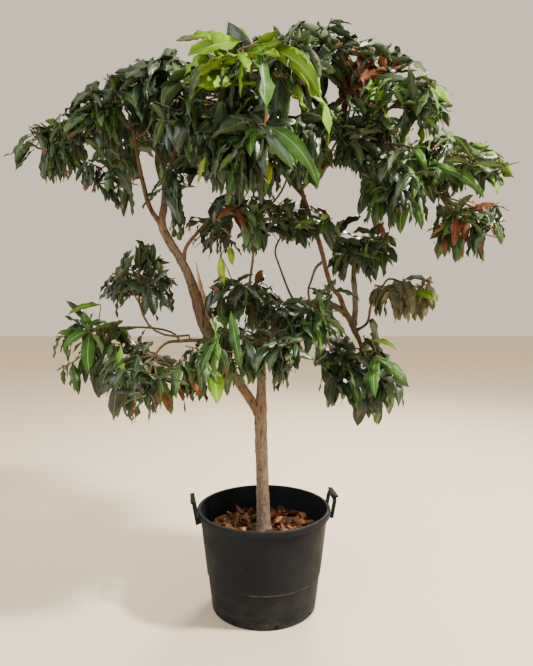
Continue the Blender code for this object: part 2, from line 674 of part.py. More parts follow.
def stem_foot(mass):
    """Where the stem stands: on its limb's flat tip, or square on a facet of the limb's side."""
    limb = mass.limb
    path, widths = limb["path"], limb["widths"]
    if mass.place == "tip":
        return *tip_of(limb), widths[-1] * 0.85
    at = mass.place * (len(path) - 1)
    low = min(int(at), len(path) - 2)
    tangent = (path[low + 1] - path[low]).normalized()
    axis = path[low].lerp(path[low + 1], at - low)
    out = mass.hub - axis
    out = (out - tangent * out.dot(tangent)).normalized()
    hit, normal, _, _ = search_tree([limb["object"]]).ray_cast(axis + out * 0.08, -out)
    return hit + normal * GAP, normal, min(0.0065, widths[low] * 0.62)


def bend(a, b, c, steps):
    """A curve from a to c that leaves a towards b."""
    return [a.lerp(b, t).lerp(b.lerp(c, t), t) for t in (step / steps for step in range(steps + 1))]


def leaf(root, way, length, width, droop, roll):
    """Eight faces: a pointed blade, folded down from its midrib, whose outer half droops."""
    middle = root + way * length * 0.45
    turn = min(droop * MOST_DROOP, way.angle(DOWN))
    tip = middle + Matrix.Rotation(turn, 3, way.cross(DOWN)) @ way * length * 0.55
    side = way.cross(UP)
    if side.length < 0.05:
        side = way.cross(Vector((1, 0, 0)))
    side = Matrix.Rotation(roll, 3, way) @ side.normalized()
    face_up = side.cross(way).normalized()
    bm = bmesh.new()
    bmesh.ops.create_uvsphere(bm, u_segments=4, v_segments=2, radius=1)
    for vert in bm.verts:
        x, y, z = vert.co
        spot = root if y < -0.5 else tip if y > 0.5 else middle
        rise = z * LEAF_THICKNESS * length / 2 - abs(x) * width * LEAF_FOLD
        vert.co = spot + side * x * width / 2 + face_up * rise
    return bm


def fruit(top):
    """A small green fruit that hangs from the point."""
    bm = bmesh.new()
    place = Matrix.Translation(top - UP * FRUIT_SIZE.z * 0.8) @ Matrix.Diagonal((*FRUIT_SIZE, 1))
    bmesh.ops.create_uvsphere(bm, u_segments=6, v_segments=5, radius=1, matrix=place)
    return bm


def stem_of(mass, swell=0.0):
    """The stem's path, and its tube."""
    foot, up, radius = stem_foot(mass)
    first = foot + up * 0.012
    span = (mass.hub - foot).length
    path = [foot] + bend(first, first + up * span * 0.35, mass.hub, 3)
    taper = [swell + radius + (STEM_TIP_RADIUS - radius) * at / 4 for at in range(5)]
    return path, tube(path, taper, 3, start=up)


stem_trees = {}
for mass in masses:
    _, swollen_stem = stem_of(mass, GAP * 2)
    stem_trees[mass.name] = BVHTree.FromBMesh(swollen_stem)
    swollen_stem.free()


def grow(mass):
    """Stem, shoots and leaves of one mass, as loose closed pieces that overlap only at their roots."""
    draw = random.Random(mass.name)
    stem_path, stem = stem_of(mass)
    trees = [BVHTree.FromBMesh(stem)]
    pieces = [add_object(mass.name, stem)]

    def keep(bm, tree=None):
        """Keeps the piece if it stays in the mass's space and off the limbs."""
        if not all(mass.holds(vert.co) for vert in bm.verts) or touches(bm, mass):
            bm.free()
            return False
        trees.append(tree or BVHTree.FromBMesh(bm))
        pieces.append(add_object(mass.name + "_piece", bm))
        return True

    def shoot(end, whorl, back):
        """A shoot that leaves the stem, runs to the end and turns up into its whorl."""
        start = stem_path[-1].lerp(stem_path[-2], back)
        path = [start, end, whorl] if whorl else [start, end]
        radii = [SHOOT_RADIUS, SHOOT_TIP_RADIUS * 1.1, SHOOT_TIP_RADIUS]
        return keep(tube(path, radii[:len(path)], 3))

    def leaf_on(root, axis, way, length, droop):
        """Tries one leaf in several ways, each turned further round the shoot and then shorter."""
        width = length * LEAF_WIDTH * draw.uniform(0.85, 1.15)
        roll = draw.uniform(-0.35, 0.35)
        for turn, size, more in LEAF_TRIES:
            turned_way = Matrix.Rotation(turn, 3, axis) @ way
            sag = min(droop + more, 1)
            beyond = root + turned_way * ROOT_FREE
            bare = leaf(beyond, turned_way, length * size - ROOT_FREE, width * size, sag, roll)
            tree = BVHTree.FromBMesh(bare)
            bare.free()
            if any(tree.overlap(other) for other in trees):
                continue
            sunk = root - turned_way * LEAF_ROOT
            if keep(leaf(sunk, turned_way, length * size, width * size, sag, roll), tree):
                return

    for top in mass.fruits:
        low, high = top, top + UP * 0.03
        knee = stem_path[2].lerp(high, 0.7)
        if keep(tube([stem_path[2], knee, high, low - UP * 0.004], [STALK_RADIUS] * 4, 3)):
            keep(fruit(top))
    whorls = []
    far_leaves = []
    for tip in mass.tips:
        way = (tip - mass.hub).normalized()
        run = min(mass.length * 1.15, (tip - mass.hub).length * 0.7)
        base = tip - way * run
        if shoot(base + way * 0.006, None, 0.2):
            far_leaves.append((base, way, run))
    for number in range(mass.shoots):
        for attempt in range(SHOOT_TRIES):
            height = 0.85 - 1.25 * (number + 0.5) / mass.shoots - 0.05 * attempt
            around = number * GOLDEN_ANGLE + draw.uniform(-0.3, 0.3) + 0.8 * attempt
            level = math.sqrt(max(0.0, 1 - height * height))
            out = Vector((math.cos(around) * level, math.sin(around) * level, height))
            part = draw.uniform(0.42, 0.62) * (1 - 0.06 * attempt)
            end = mass.centre + Vector([out[axis] * mass.reach[axis] * part for axis in range(3)])
            whorl = end + ((end - mass.hub).normalized() + UP * 0.6).normalized() * WHORL_LENGTH
            if shoot(end, whorl, draw.uniform(0, 0.9)):
                whorls.append((end, whorl))
                break

    for base, way, run in far_leaves:
        keep(leaf(base - way * LEAF_ROOT, way, run + LEAF_ROOT, run * LEAF_WIDTH * 0.8, 0, 0))
    for end, whorl in whorls:
        axis = (whorl - end).normalized()
        beside = axis.orthogonal().normalized()
        spin = draw.uniform(0, math.tau)
        for number in range(mass.leaves):
            spin += GOLDEN_ANGLE
            polar = math.radians(48 + 42 * number / max(mass.leaves - 1, 1)) * draw.uniform(0.9, 1.1)
            way = axis * math.cos(polar) + (Matrix.Rotation(spin, 3, axis) @ beside) * math.sin(polar)
            way = (way + DOWN * mass.hang * draw.uniform(0.6, 1.1)).normalized()
            size = mass.length * draw.uniform(0.82, 1.15)
            root = whorl.lerp(end, 0.06 + 0.86 * number / mass.leaves)
            leaf_on(root, axis, way, size, mass.hang * draw.uniform(0.5, 1.0))
    return pieces


for mass in masses:
    stem, *pieces = grow(mass)
    fuse(stem, pieces)
    stem.data.materials.append(mass.surface)
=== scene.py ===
"""Young mango tree in a black nursery tub: bark, twigs, leaves, fruits, litter, tub, light and camera."""
import math
import random

import bmesh
import bpy
from mathutils import Matrix, Vector, noise
from mathutils.bvhtree import BVHTree


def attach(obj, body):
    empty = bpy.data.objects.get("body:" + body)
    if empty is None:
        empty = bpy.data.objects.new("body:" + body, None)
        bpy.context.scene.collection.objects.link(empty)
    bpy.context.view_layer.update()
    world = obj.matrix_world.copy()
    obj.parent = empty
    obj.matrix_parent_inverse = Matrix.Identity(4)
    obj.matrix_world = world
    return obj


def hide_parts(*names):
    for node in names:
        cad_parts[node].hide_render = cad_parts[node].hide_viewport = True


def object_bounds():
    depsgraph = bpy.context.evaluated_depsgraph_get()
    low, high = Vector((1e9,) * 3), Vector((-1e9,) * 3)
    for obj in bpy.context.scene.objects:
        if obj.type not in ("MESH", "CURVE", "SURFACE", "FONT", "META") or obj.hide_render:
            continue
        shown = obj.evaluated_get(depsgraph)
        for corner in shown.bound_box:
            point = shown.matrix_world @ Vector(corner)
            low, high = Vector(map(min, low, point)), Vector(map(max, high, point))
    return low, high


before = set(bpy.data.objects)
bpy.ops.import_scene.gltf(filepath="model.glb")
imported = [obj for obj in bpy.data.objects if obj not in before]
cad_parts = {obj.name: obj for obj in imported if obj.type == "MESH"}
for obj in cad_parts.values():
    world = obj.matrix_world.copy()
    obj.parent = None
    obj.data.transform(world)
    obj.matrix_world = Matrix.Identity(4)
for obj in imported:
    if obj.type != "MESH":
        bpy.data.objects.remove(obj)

cad_low, cad_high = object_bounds()

# Camera and stage. The tree stands on a plain pale floor in soft light, with a warm lamp high on the
# right as the sun is in the photograph, and is seen from eye height, a little over two metres away.

EYE = (0.01, -2.24, 1.21)
EYE_TILT = math.radians(-4.56)
FOCAL_PX = 610
PHOTO_HEIGHT_PX = 666
SENSOR = 36
DAYLIGHT = (1.0, 0.85, 0.66, 1)
DAYLIGHT_STRENGTH = 0.95
CROWN_MIDDLE = (0, 0, 1.4)
GROUND_HALF_SIZE = 12
GROUND_DROP = 0.001

camera_data = bpy.data.cameras.new("camera")
camera_data.sensor_width = SENSOR
camera_data.lens = FOCAL_PX / PHOTO_HEIGHT_PX * SENSOR
camera = bpy.data.objects.new("camera", camera_data)
camera.location = EYE
camera.rotation_euler = (math.radians(90) + EYE_TILT, 0, 0)
bpy.context.scene.collection.objects.link(camera)
bpy.context.scene.camera = camera

world = bpy.data.worlds.new("daylight")
world.use_nodes = True
daylight = world.node_tree.nodes["Background"].inputs
daylight["Color"].default_value = DAYLIGHT
daylight["Strength"].default_value = DAYLIGHT_STRENGTH
bpy.context.scene.world = world


def lamp(name, place, size, power, colour):
    """A square lamp that faces the crown."""
    data = bpy.data.lights.new(name, "AREA")
    data.size = size
    data.energy = power
    data.color = colour
    made = bpy.data.objects.new(name, data)
    made.location = place
    made.rotation_euler = (Vector(CROWN_MIDDLE) - Vector(place)).to_track_quat("-Z", "Y").to_euler()
    bpy.context.scene.collection.objects.link(made)


lamp("sun", (3.0, -1.0, 4.2), 0.5, 560, (1.0, 0.90, 0.74))
lamp("back_light", (1.0, 3.2, 3.4), 1.2, 220, (1.0, 0.91, 0.76))
lamp("sky", (-2.8, -2.6, 3.0), 2.6, 85, (0.82, 0.90, 1.0))


def add_object(name, bm, finishes, smooth=50):
    """A piece of the object from a bmesh, with its finishes, smooth but for edges bent past the angle."""
    mesh = bpy.data.meshes.new(name)
    bm.to_mesh(mesh)
    bm.free()
    for finish in finishes:
        mesh.materials.append(finish)
    mesh.shade_smooth()
    mesh.set_sharp_from_angle(angle=math.radians(smooth))
    made = bpy.data.objects.new(name, mesh)
    bpy.context.scene.collection.objects.link(made)
    return made


def add_piece(name, bm, finishes, nodes, smooth=50):
    """A piece that stands for CAD nodes and hides them, rides on the one body and wears the finishes it is
    given.
    """
    piece = add_object(name, bm, finishes, smooth)
    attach(piece, "root")
    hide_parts(*nodes)
    return piece


def new_finish(name, colour, roughness, **sockets):
    finish = bpy.data.materials.new(name)
    finish.use_nodes = True
    shader = finish.node_tree.nodes["Principled BSDF"]
    shader.inputs["Base Color"].default_value = (*colour, 1)
    shader.inputs["Roughness"].default_value = roughness
    for socket, value in sockets.items():
        shader.inputs[socket.replace("_", " ")].default_value = value
    finish.diffuse_color = (*colour, 1)
    return finish


def add_node(finish, kind, inputs, **settings):
    """A node with its inputs, each a colour, a value or another node's output."""
    node = finish.node_tree.nodes.new(kind)
    for name, value in settings.items():
        setattr(node, name, value)
    for name, value in inputs.items():
        socket = node.inputs[name]
        if isinstance(value, bpy.types.NodeSocket):
            finish.node_tree.links.new(value, socket)
        else:
            socket.default_value = (*value, 1) if socket.type == "RGBA" else value
    return node


def connect(finish, output, socket):
    shader = finish.node_tree.nodes["Principled BSDF"]
    finish.node_tree.links.new(output, shader.inputs[socket])


def object_place(finish, stretch=(1, 1, 1)):
    place = add_node(finish, "ShaderNodeTexCoord", {}).outputs["Object"]
    return add_node(finish, "ShaderNodeMapping", {"Vector": place, "Scale": stretch}).outputs["Vector"]


def ramp(finish, value, first, last):
    """0 where the value is at the first number or past it, 1 at the last."""
    ends = {"Value": value, "From Min": first, "From Max": last}
    return add_node(finish, "ShaderNodeMapRange", ends).outputs["Result"]


def patches(finish, scale, low, high, stretch=(1, 1, 1), detail=4):
    """Noise through the piece: 0 where it is under low, 1 where it is over high."""
    cloud = add_node(finish, "ShaderNodeTexNoise",
                     {"Vector": object_place(finish, stretch), "Scale": scale, "Detail": detail})
    return ramp(finish, cloud.outputs[0], low, high)


def blend(finish, share, colour, onto):
    """One colour laid over another, by the share."""
    mix = add_node(finish, "ShaderNodeMix", {0: share, 6: onto, 7: colour}, data_type="RGBA")
    return mix.outputs[2]


def times(finish, a, b):
    return add_node(finish, "ShaderNodeMath", {0: a, 1: b}, operation="MULTIPLY").outputs["Value"]


def bump(finish, height, depth, strength=1.0):
    relief = add_node(finish, "ShaderNodeBump", {"Height": height, "Distance": depth, "Strength": strength})
    connect(finish, relief.outputs["Normal"], "Normal")


floor_mesh = bmesh.new()
bmesh.ops.create_grid(floor_mesh, x_segments=1, y_segments=1, size=GROUND_HALF_SIZE)
floor = add_object("floor", floor_mesh, [new_finish("pale_floor", (0.78, 0.67, 0.52), 0.85)])
floor.location.z = -GROUND_DROP

# Tub: a 50 litre nursery tub of moulded charcoal plastic, with a rolled lip, a stacking step a third of
# the way up, and square drain holes round its foot. It is dusty at the foot and scuffed along the step.

GAP = 0.0003
TUB_SIDES = 144
TUB_HEIGHT = 0.377
BASE_RADIUS = 0.196
RIM_RADIUS = 0.250
WALL_TOP_RADIUS = 0.241
WALL = 0.004
FLOOR = 0.005
STEP_HEIGHT = 0.134
STEP_OUT = 0.003
LIP_HEIGHT = 0.022
LIP_ROUND = 0.006
FOOT_ROUND = 0.004
EDGE_ROUND = 0.002
SHARP_EDGE = math.radians(35)
DRAIN_COUNT = 8
DRAIN_SIZE = 0.011
DRAIN_TURN = math.radians(13)
UP = Vector((0, 0, 1))
DOWN = Vector((0, 0, -1))


def wall_radius(z):
    slope = (WALL_TOP_RADIUS - STEP_OUT - BASE_RADIUS) / TUB_HEIGHT
    return BASE_RADIUS + slope * z + (STEP_OUT if z > STEP_HEIGHT else 0)


def turned(profile, sides):
    """Spins a profile of (radius, z) points about the Z axis."""
    bm = bmesh.new()
    verts = [bm.verts.new((radius, 0, z)) for radius, z in profile]
    edges = [bm.edges.new(pair) for pair in zip(verts, verts[1:])]
    bmesh.ops.spin(bm, geom=verts + edges, axis=UP, angle=math.tau, steps=sides, use_merge=True)
    bmesh.ops.remove_doubles(bm, verts=bm.verts[:], dist=1e-6)
    bmesh.ops.recalc_face_normals(bm, faces=bm.faces[:])
    return bm


def arc(centre, radius, first, last, steps):
    """Points of a (radius, z) profile round a corner, from one angle to another, in degrees."""
    turn = [math.radians(first + (last - first) * step / steps) for step in range(steps + 1)]
    return [(centre[0] + radius * math.cos(a), centre[1] + radius * math.sin(a)) for a in turn]


def tub_profile():
    """The tub's section, from the middle of its underside out, up and back down to the floor inside."""
    lip_foot = TUB_HEIGHT - LIP_HEIGHT
    outside = [(0, 0), *arc((BASE_RADIUS - FOOT_ROUND, FOOT_ROUND), FOOT_ROUND, -90, 0, 4)]
    step_top = STEP_HEIGHT + STEP_OUT
    outside += [(wall_radius(STEP_HEIGHT), STEP_HEIGHT), (wall_radius(step_top), step_top)]
    outside += [(wall_radius(lip_foot), lip_foot)]
    outside += arc((RIM_RADIUS - EDGE_ROUND, lip_foot + EDGE_ROUND), EDGE_ROUND, -90, 0, 3)
    outside += arc((RIM_RADIUS - LIP_ROUND, TUB_HEIGHT - LIP_ROUND), LIP_ROUND, 0, 90, 6)
    inner_top = wall_radius(TUB_HEIGHT) - WALL
    return outside + [(inner_top + EDGE_ROUND, TUB_HEIGHT), (inner_top, TUB_HEIGHT - EDGE_ROUND),
                      (wall_radius(FLOOR) - WALL, FLOOR), (0, FLOOR)]


def combine(target, operation, others):
    """Cuts the others out of the target, or joins them to it, and removes them."""
    group = bpy.data.collections.new("others")
    for other in others:
        group.objects.link(other)
    change = target.modifiers.new("combine", "BOOLEAN")
    change.operation = operation
    change.operand_type = "COLLECTION"
    change.collection = group
    finishes = target.data.materials[:]
    view = target.evaluated_get(bpy.context.evaluated_depsgraph_get())
    target.data = bpy.data.meshes.new_from_object(view)
    target.modifiers.clear()
    target.data.materials.clear()
    for finish in finishes:
        target.data.materials.append(finish)
    target.data.shade_smooth()
    target.data.set_sharp_from_angle(angle=SHARP_EDGE)
    for other in others:
        bpy.data.objects.remove(other, do_unlink=True)
    bpy.data.collections.remove(group)


def block(low, high, place=Matrix.Identity(4)):
    bm = bmesh.new()
    low, high = Vector(low), Vector(high)
    size = Matrix.Diagonal((*(high - low), 1))
    bmesh.ops.create_cube(bm, size=1, matrix=place @ Matrix.Translation((low + high) / 2) @ size)
    return bm


def drain_blocks():
    blocks = []
    for hole in range(DRAIN_COUNT):
        turn = Matrix.Rotation(DRAIN_TURN + hole * math.tau / DRAIN_COUNT, 4, "Z")
        low = (BASE_RADIUS - WALL * 3, -DRAIN_SIZE / 2, FLOOR + DRAIN_SIZE / 4)
        high = (BASE_RADIUS + WALL * 2, DRAIN_SIZE / 2, FLOOR + DRAIN_SIZE * 5 / 4)
        blocks.append(add_object("drain_cutter", block(low, high, turn), []))
    return blocks


def tub_plastic():
    """Charcoal, paler where dust clings to the foot and where the step has rubbed, with fine scratches."""
    finish = new_finish("tub_plastic", (0.009, 0.012, 0.018), 0.5, Specular_IOR_Level=0.08)
    place = add_node(finish, "ShaderNodeSeparateXYZ", {"Vector": object_place(finish)}).outputs
    height = place["Z"]
    low = ramp(finish, height, 0.16, 0.0)
    dust = times(finish, low, patches(finish, 16, 0.40, 0.72, (1, 1, 2.2), 8))
    above = add_node(finish, "ShaderNodeMath", {0: height, 1: STEP_HEIGHT}, operation="SUBTRACT")
    away = add_node(finish, "ShaderNodeMath", {0: above.outputs["Value"]}, operation="ABSOLUTE")
    along_step = ramp(finish, away.outputs["Value"], 0.0042, 0.0010)
    rub = times(finish, along_step, ramp(finish, place["X"], -0.09, -0.04))
    front = times(finish, rub, ramp(finish, place["Y"], 0.06, 0.0))
    rubbed = times(finish, front, patches(finish, 38, 0.36, 0.58, (1, 1, 2)))
    scratches = patches(finish, 60, 0.60, 0.72, (1, 1, 9), 6)
    cloudy = blend(finish, patches(finish, 5, 0.35, 0.75), (0.013, 0.016, 0.021), (0.007, 0.009, 0.012))
    scratched = blend(finish, times(finish, scratches, 0.16), (0.08, 0.08, 0.08), cloudy)
    dusty = blend(finish, times(finish, dust, 0.20), (0.13, 0.12, 0.11), scratched)
    specks = patches(finish, 110, 0.66, 0.74)
    specked = blend(finish, times(finish, times(finish, specks, low), 0.6), (0.20, 0.15, 0.11), dusty)
    connect(finish, blend(finish, times(finish, rubbed, 0.6), (0.17, 0.105, 0.065), specked), "Base Color")
    ends = {"Value": patches(finish, 9, 0.3, 0.7), "To Min": 0.42, "To Max": 0.66}
    connect(finish, add_node(finish, "ShaderNodeMapRange", ends).outputs["Result"], "Roughness")
    bump(finish, patches(finish, 420, 0.2, 0.8), 0.0004, 0.35)
    return finish


charcoal = tub_plastic()
tub = add_piece("nursery_tub", turned(tub_profile(), TUB_SIDES), [charcoal], ["tub"])
combine(tub, "DIFFERENCE", drain_blocks())

# Handles: two upright loops of the same plastic, moulded on to the lip and leaning outwards. Each has a
# wide grip on top, whose ends stand out past the loop, and a gusset under the lip at each foot.

HANDLE_TURN = math.radians(7.5)
HANDLE_HALF_WIDTH = 0.046
STRAP_WIDTH = 0.0130
STRAP_THICK = 0.0115
HANDLE_FOOT_Z = 0.338
HANDLE_TOP_Z = 0.423
HANDLE_FOOT_RADIUS = 0.2500
HANDLE_TOP_RADIUS = 0.2655
HANDLE_CORNER = 0.018
CORNER_STEPS = 8
GRIP_WIDTH = 0.0165
GRIP_THICK = 0.0070
GRIP_OVERHANG = 0.0030
GRIP_LIP = 0.0010
GRIP_RIBS = 9
RIB_WIDTH = 0.0030
RIB_HEIGHT = 0.0006
RIB_INSET = 0.002
RIB_SPREAD = 0.85  # how much of the grip's length the ribs cover
GUSSET_DEPTH = 0.0200
GUSSET_WIDTH = 0.0100
GUSSET_FOOT = 0.0010
HANDLE_ROUNDING = 0.0016


def strap(line, width, thick):
    """A flat strap along a line of (y, z) points, square in section, its middle in the plane x = 0."""
    last = len(line) - 1
    bm = bmesh.new()
    bmesh.ops.create_grid(bm, x_segments=1, y_segments=last, size=1)
    for vert in bm.verts:
        at = round((vert.co.y + 1) / 2 * last)
        along = (line[min(at + 1, last)] - line[max(at - 1, 0)]).normalized()
        y, z = line[at] + Vector((along.y, -along.x)) * vert.co.x * width / 2
        vert.co = (-thick / 2, y, z)
    made = bmesh.ops.extrude_face_region(bm, geom=bm.faces[:])["geom"]
    front = [item for item in made if isinstance(item, bmesh.types.BMVert)]
    bmesh.ops.translate(bm, vec=(thick, 0, 0), verts=front)
    bmesh.ops.recalc_face_normals(bm, faces=bm.faces[:])
    return bm


def handle_line(leg):
    """The loop's line, up one leg, round the corner and down the other."""
    corner = arc((HANDLE_HALF_WIDTH - HANDLE_CORNER, leg), HANDLE_CORNER, 0, 90, CORNER_STEPS)
    half = [Vector(point) for point in [(HANDLE_HALF_WIDTH, 0), *corner]]
    return half + [Vector((-wide, up)) for wide, up in reversed(half)]


def add_handle(node, turn):
    """One handle: the loop with its grip and gussets fused on, cut to the tub's lip and wall."""
    lean = math.atan2(HANDLE_TOP_RADIUS - HANDLE_FOOT_RADIUS, HANDLE_TOP_Z - HANDLE_FOOT_Z)
    tall = (HANDLE_TOP_Z - HANDLE_FOOT_Z) / math.cos(lean)
    place = Matrix.Rotation(turn, 4, "Z") @ Matrix.Translation((HANDLE_FOOT_RADIUS, 0, HANDLE_FOOT_Z))
    place = place @ Matrix.Rotation(lean, 4, "Y")
    leg = tall - GRIP_THICK - STRAP_WIDTH / 2 - HANDLE_CORNER
    loop = strap(handle_line(leg), STRAP_WIDTH, STRAP_THICK)
    bmesh.ops.transform(loop, matrix=place, verts=loop.verts[:])
    handle = add_piece("moulded_" + node, loop, [charcoal], [node])
    long = HANDLE_HALF_WIDTH + GRIP_OVERHANG
    inner = -STRAP_THICK / 2 - GRIP_LIP
    parts = [block((inner, -long, tall - GRIP_THICK - GAP), (inner + GRIP_WIDTH, long, tall), place)]
    for number in range(GRIP_RIBS):
        y = long * 2 * RIB_SPREAD * ((number + 0.5) / GRIP_RIBS - 0.5)
        low = (inner + RIB_INSET, y - RIB_WIDTH / 2, tall - GRIP_LIP)
        high = (inner + GRIP_WIDTH - RIB_INSET, y + RIB_WIDTH / 2, tall + RIB_HEIGHT)
        parts.append(block(low, high, place))
    for middle in (-HANDLE_HALF_WIDTH, HANDLE_HALF_WIDTH):
        low = (-GUSSET_DEPTH, middle - GUSSET_WIDTH / 2, GUSSET_FOOT)
        parts.append(block(low, (0, middle + GUSSET_WIDTH / 2, GUSSET_DEPTH), place))
    combine(handle, "UNION", [add_object("handle_part", bm, []) for bm in parts])
    lip_foot = TUB_HEIGHT - LIP_HEIGHT
    low = HANDLE_FOOT_Z - GUSSET_DEPTH
    outside = [(0, low), (wall_radius(low), low), (wall_radius(lip_foot), lip_foot), (RIM_RADIUS, lip_foot),
               (RIM_RADIUS, TUB_HEIGHT), (0, TUB_HEIGHT)]
    combine(handle, "DIFFERENCE", [add_object("tub_space", turned(outside, TUB_SIDES), [])])
    rounding = handle.modifiers.new("rounding", "BEVEL")
    rounding.width = HANDLE_ROUNDING
    rounding.segments = 2
    rounding.angle_limit = math.radians(40)
    rounding.use_clamp_overlap = True


add_handle("handle_right", HANDLE_TURN)
add_handle("handle_left", HANDLE_TURN + math.pi)

# Soil: dark potting mix, 9 cm below the rim and a little uneven. The solid filling reaches the wall.

SOIL_TOP = 0.290
SOIL_FALL = 0.006  # how much lower it lies at the wall
SOIL_FALL_RUN = 0.18
SOIL_FLAT = 0.05  # the radius of the level patch round the trunk
SOIL_SETTLED = 0.002
LUMP_HEIGHT = 0.004
CRUMB_HEIGHT = 0.002
SOIL_RINGS = 30
SOIL_SIDES = 96


def potting_soil():
    finish = new_finish("potting_soil", (0.05, 0.028, 0.016), 0.95, Specular_IOR_Level=0.08)
    crumbs = patches(finish, 150, 0.35, 0.7, detail=8)
    damp = blend(finish, crumbs, (0.070, 0.034, 0.017), (0.014, 0.008, 0.005))
    connect(finish, blend(finish, patches(finish, 260, 0.68, 0.76), (0.22, 0.14, 0.08), damp), "Base Color")
    bump(finish, crumbs, 0.003, 0.9)
    return finish


def soil_height(x, y):
    """The ground's level: flat under the trunk, a little lower at the wall, crumbly all over."""
    out = math.hypot(x, y)
    fall = SOIL_FALL * min(1, max(0, (out - SOIL_FLAT) / SOIL_FALL_RUN)) ** 2
    lumps = noise.noise(Vector((x * 22, y * 22, 3))) * LUMP_HEIGHT
    crumbs = noise.noise(Vector((x * 90, y * 90, 7))) * CRUMB_HEIGHT
    return SOIL_TOP - fall - SOIL_SETTLED + (lumps + crumbs) * min(1, out / SOIL_FLAT)


soil_edge = wall_radius(SOIL_TOP) - WALL - GAP * 2
rings = [(soil_edge * (1 - step / SOIL_RINGS), SOIL_TOP) for step in range(SOIL_RINGS + 1)]
soil = turned([(0, FLOOR + GAP), (wall_radius(FLOOR) - WALL - GAP * 2, FLOOR + GAP), *rings], SOIL_SIDES)
for vert in soil.verts:
    if vert.co.z > SOIL_TOP - 0.01:
        vert.co.z = soil_height(vert.co.x, vert.co.y)
add_piece("potting_mix", soil, [potting_soil()], ["soil"], smooth=180)

# Trunk and boughs: young mango wood, smooth and grey-beige on the trunk, browner and more cracked higher
# up, with old leaf scars that ring it and a swelling at each fork. Each bough grows out of its carrier.

TRUNK = [  # x, z and radius
    (0.0000, SOIL_TOP - 0.012, 0.0320),
    (0.0000, SOIL_TOP + GAP, 0.0302),
    (-0.0010, 0.312, 0.0266),
    (-0.0030, 0.400, 0.0246),
    (-0.0060, 0.500, 0.0234),
    (-0.0085, 0.580, 0.0228),
    (-0.0090, 0.594, 0.0246),
    (-0.0095, 0.608, 0.0230),
    (-0.0120, 0.700, 0.0234),
    (-0.0110, 0.752, 0.0232),
    (-0.0090, 0.830, 0.0170),
    (-0.0070, 0.985, 0.0145),
]

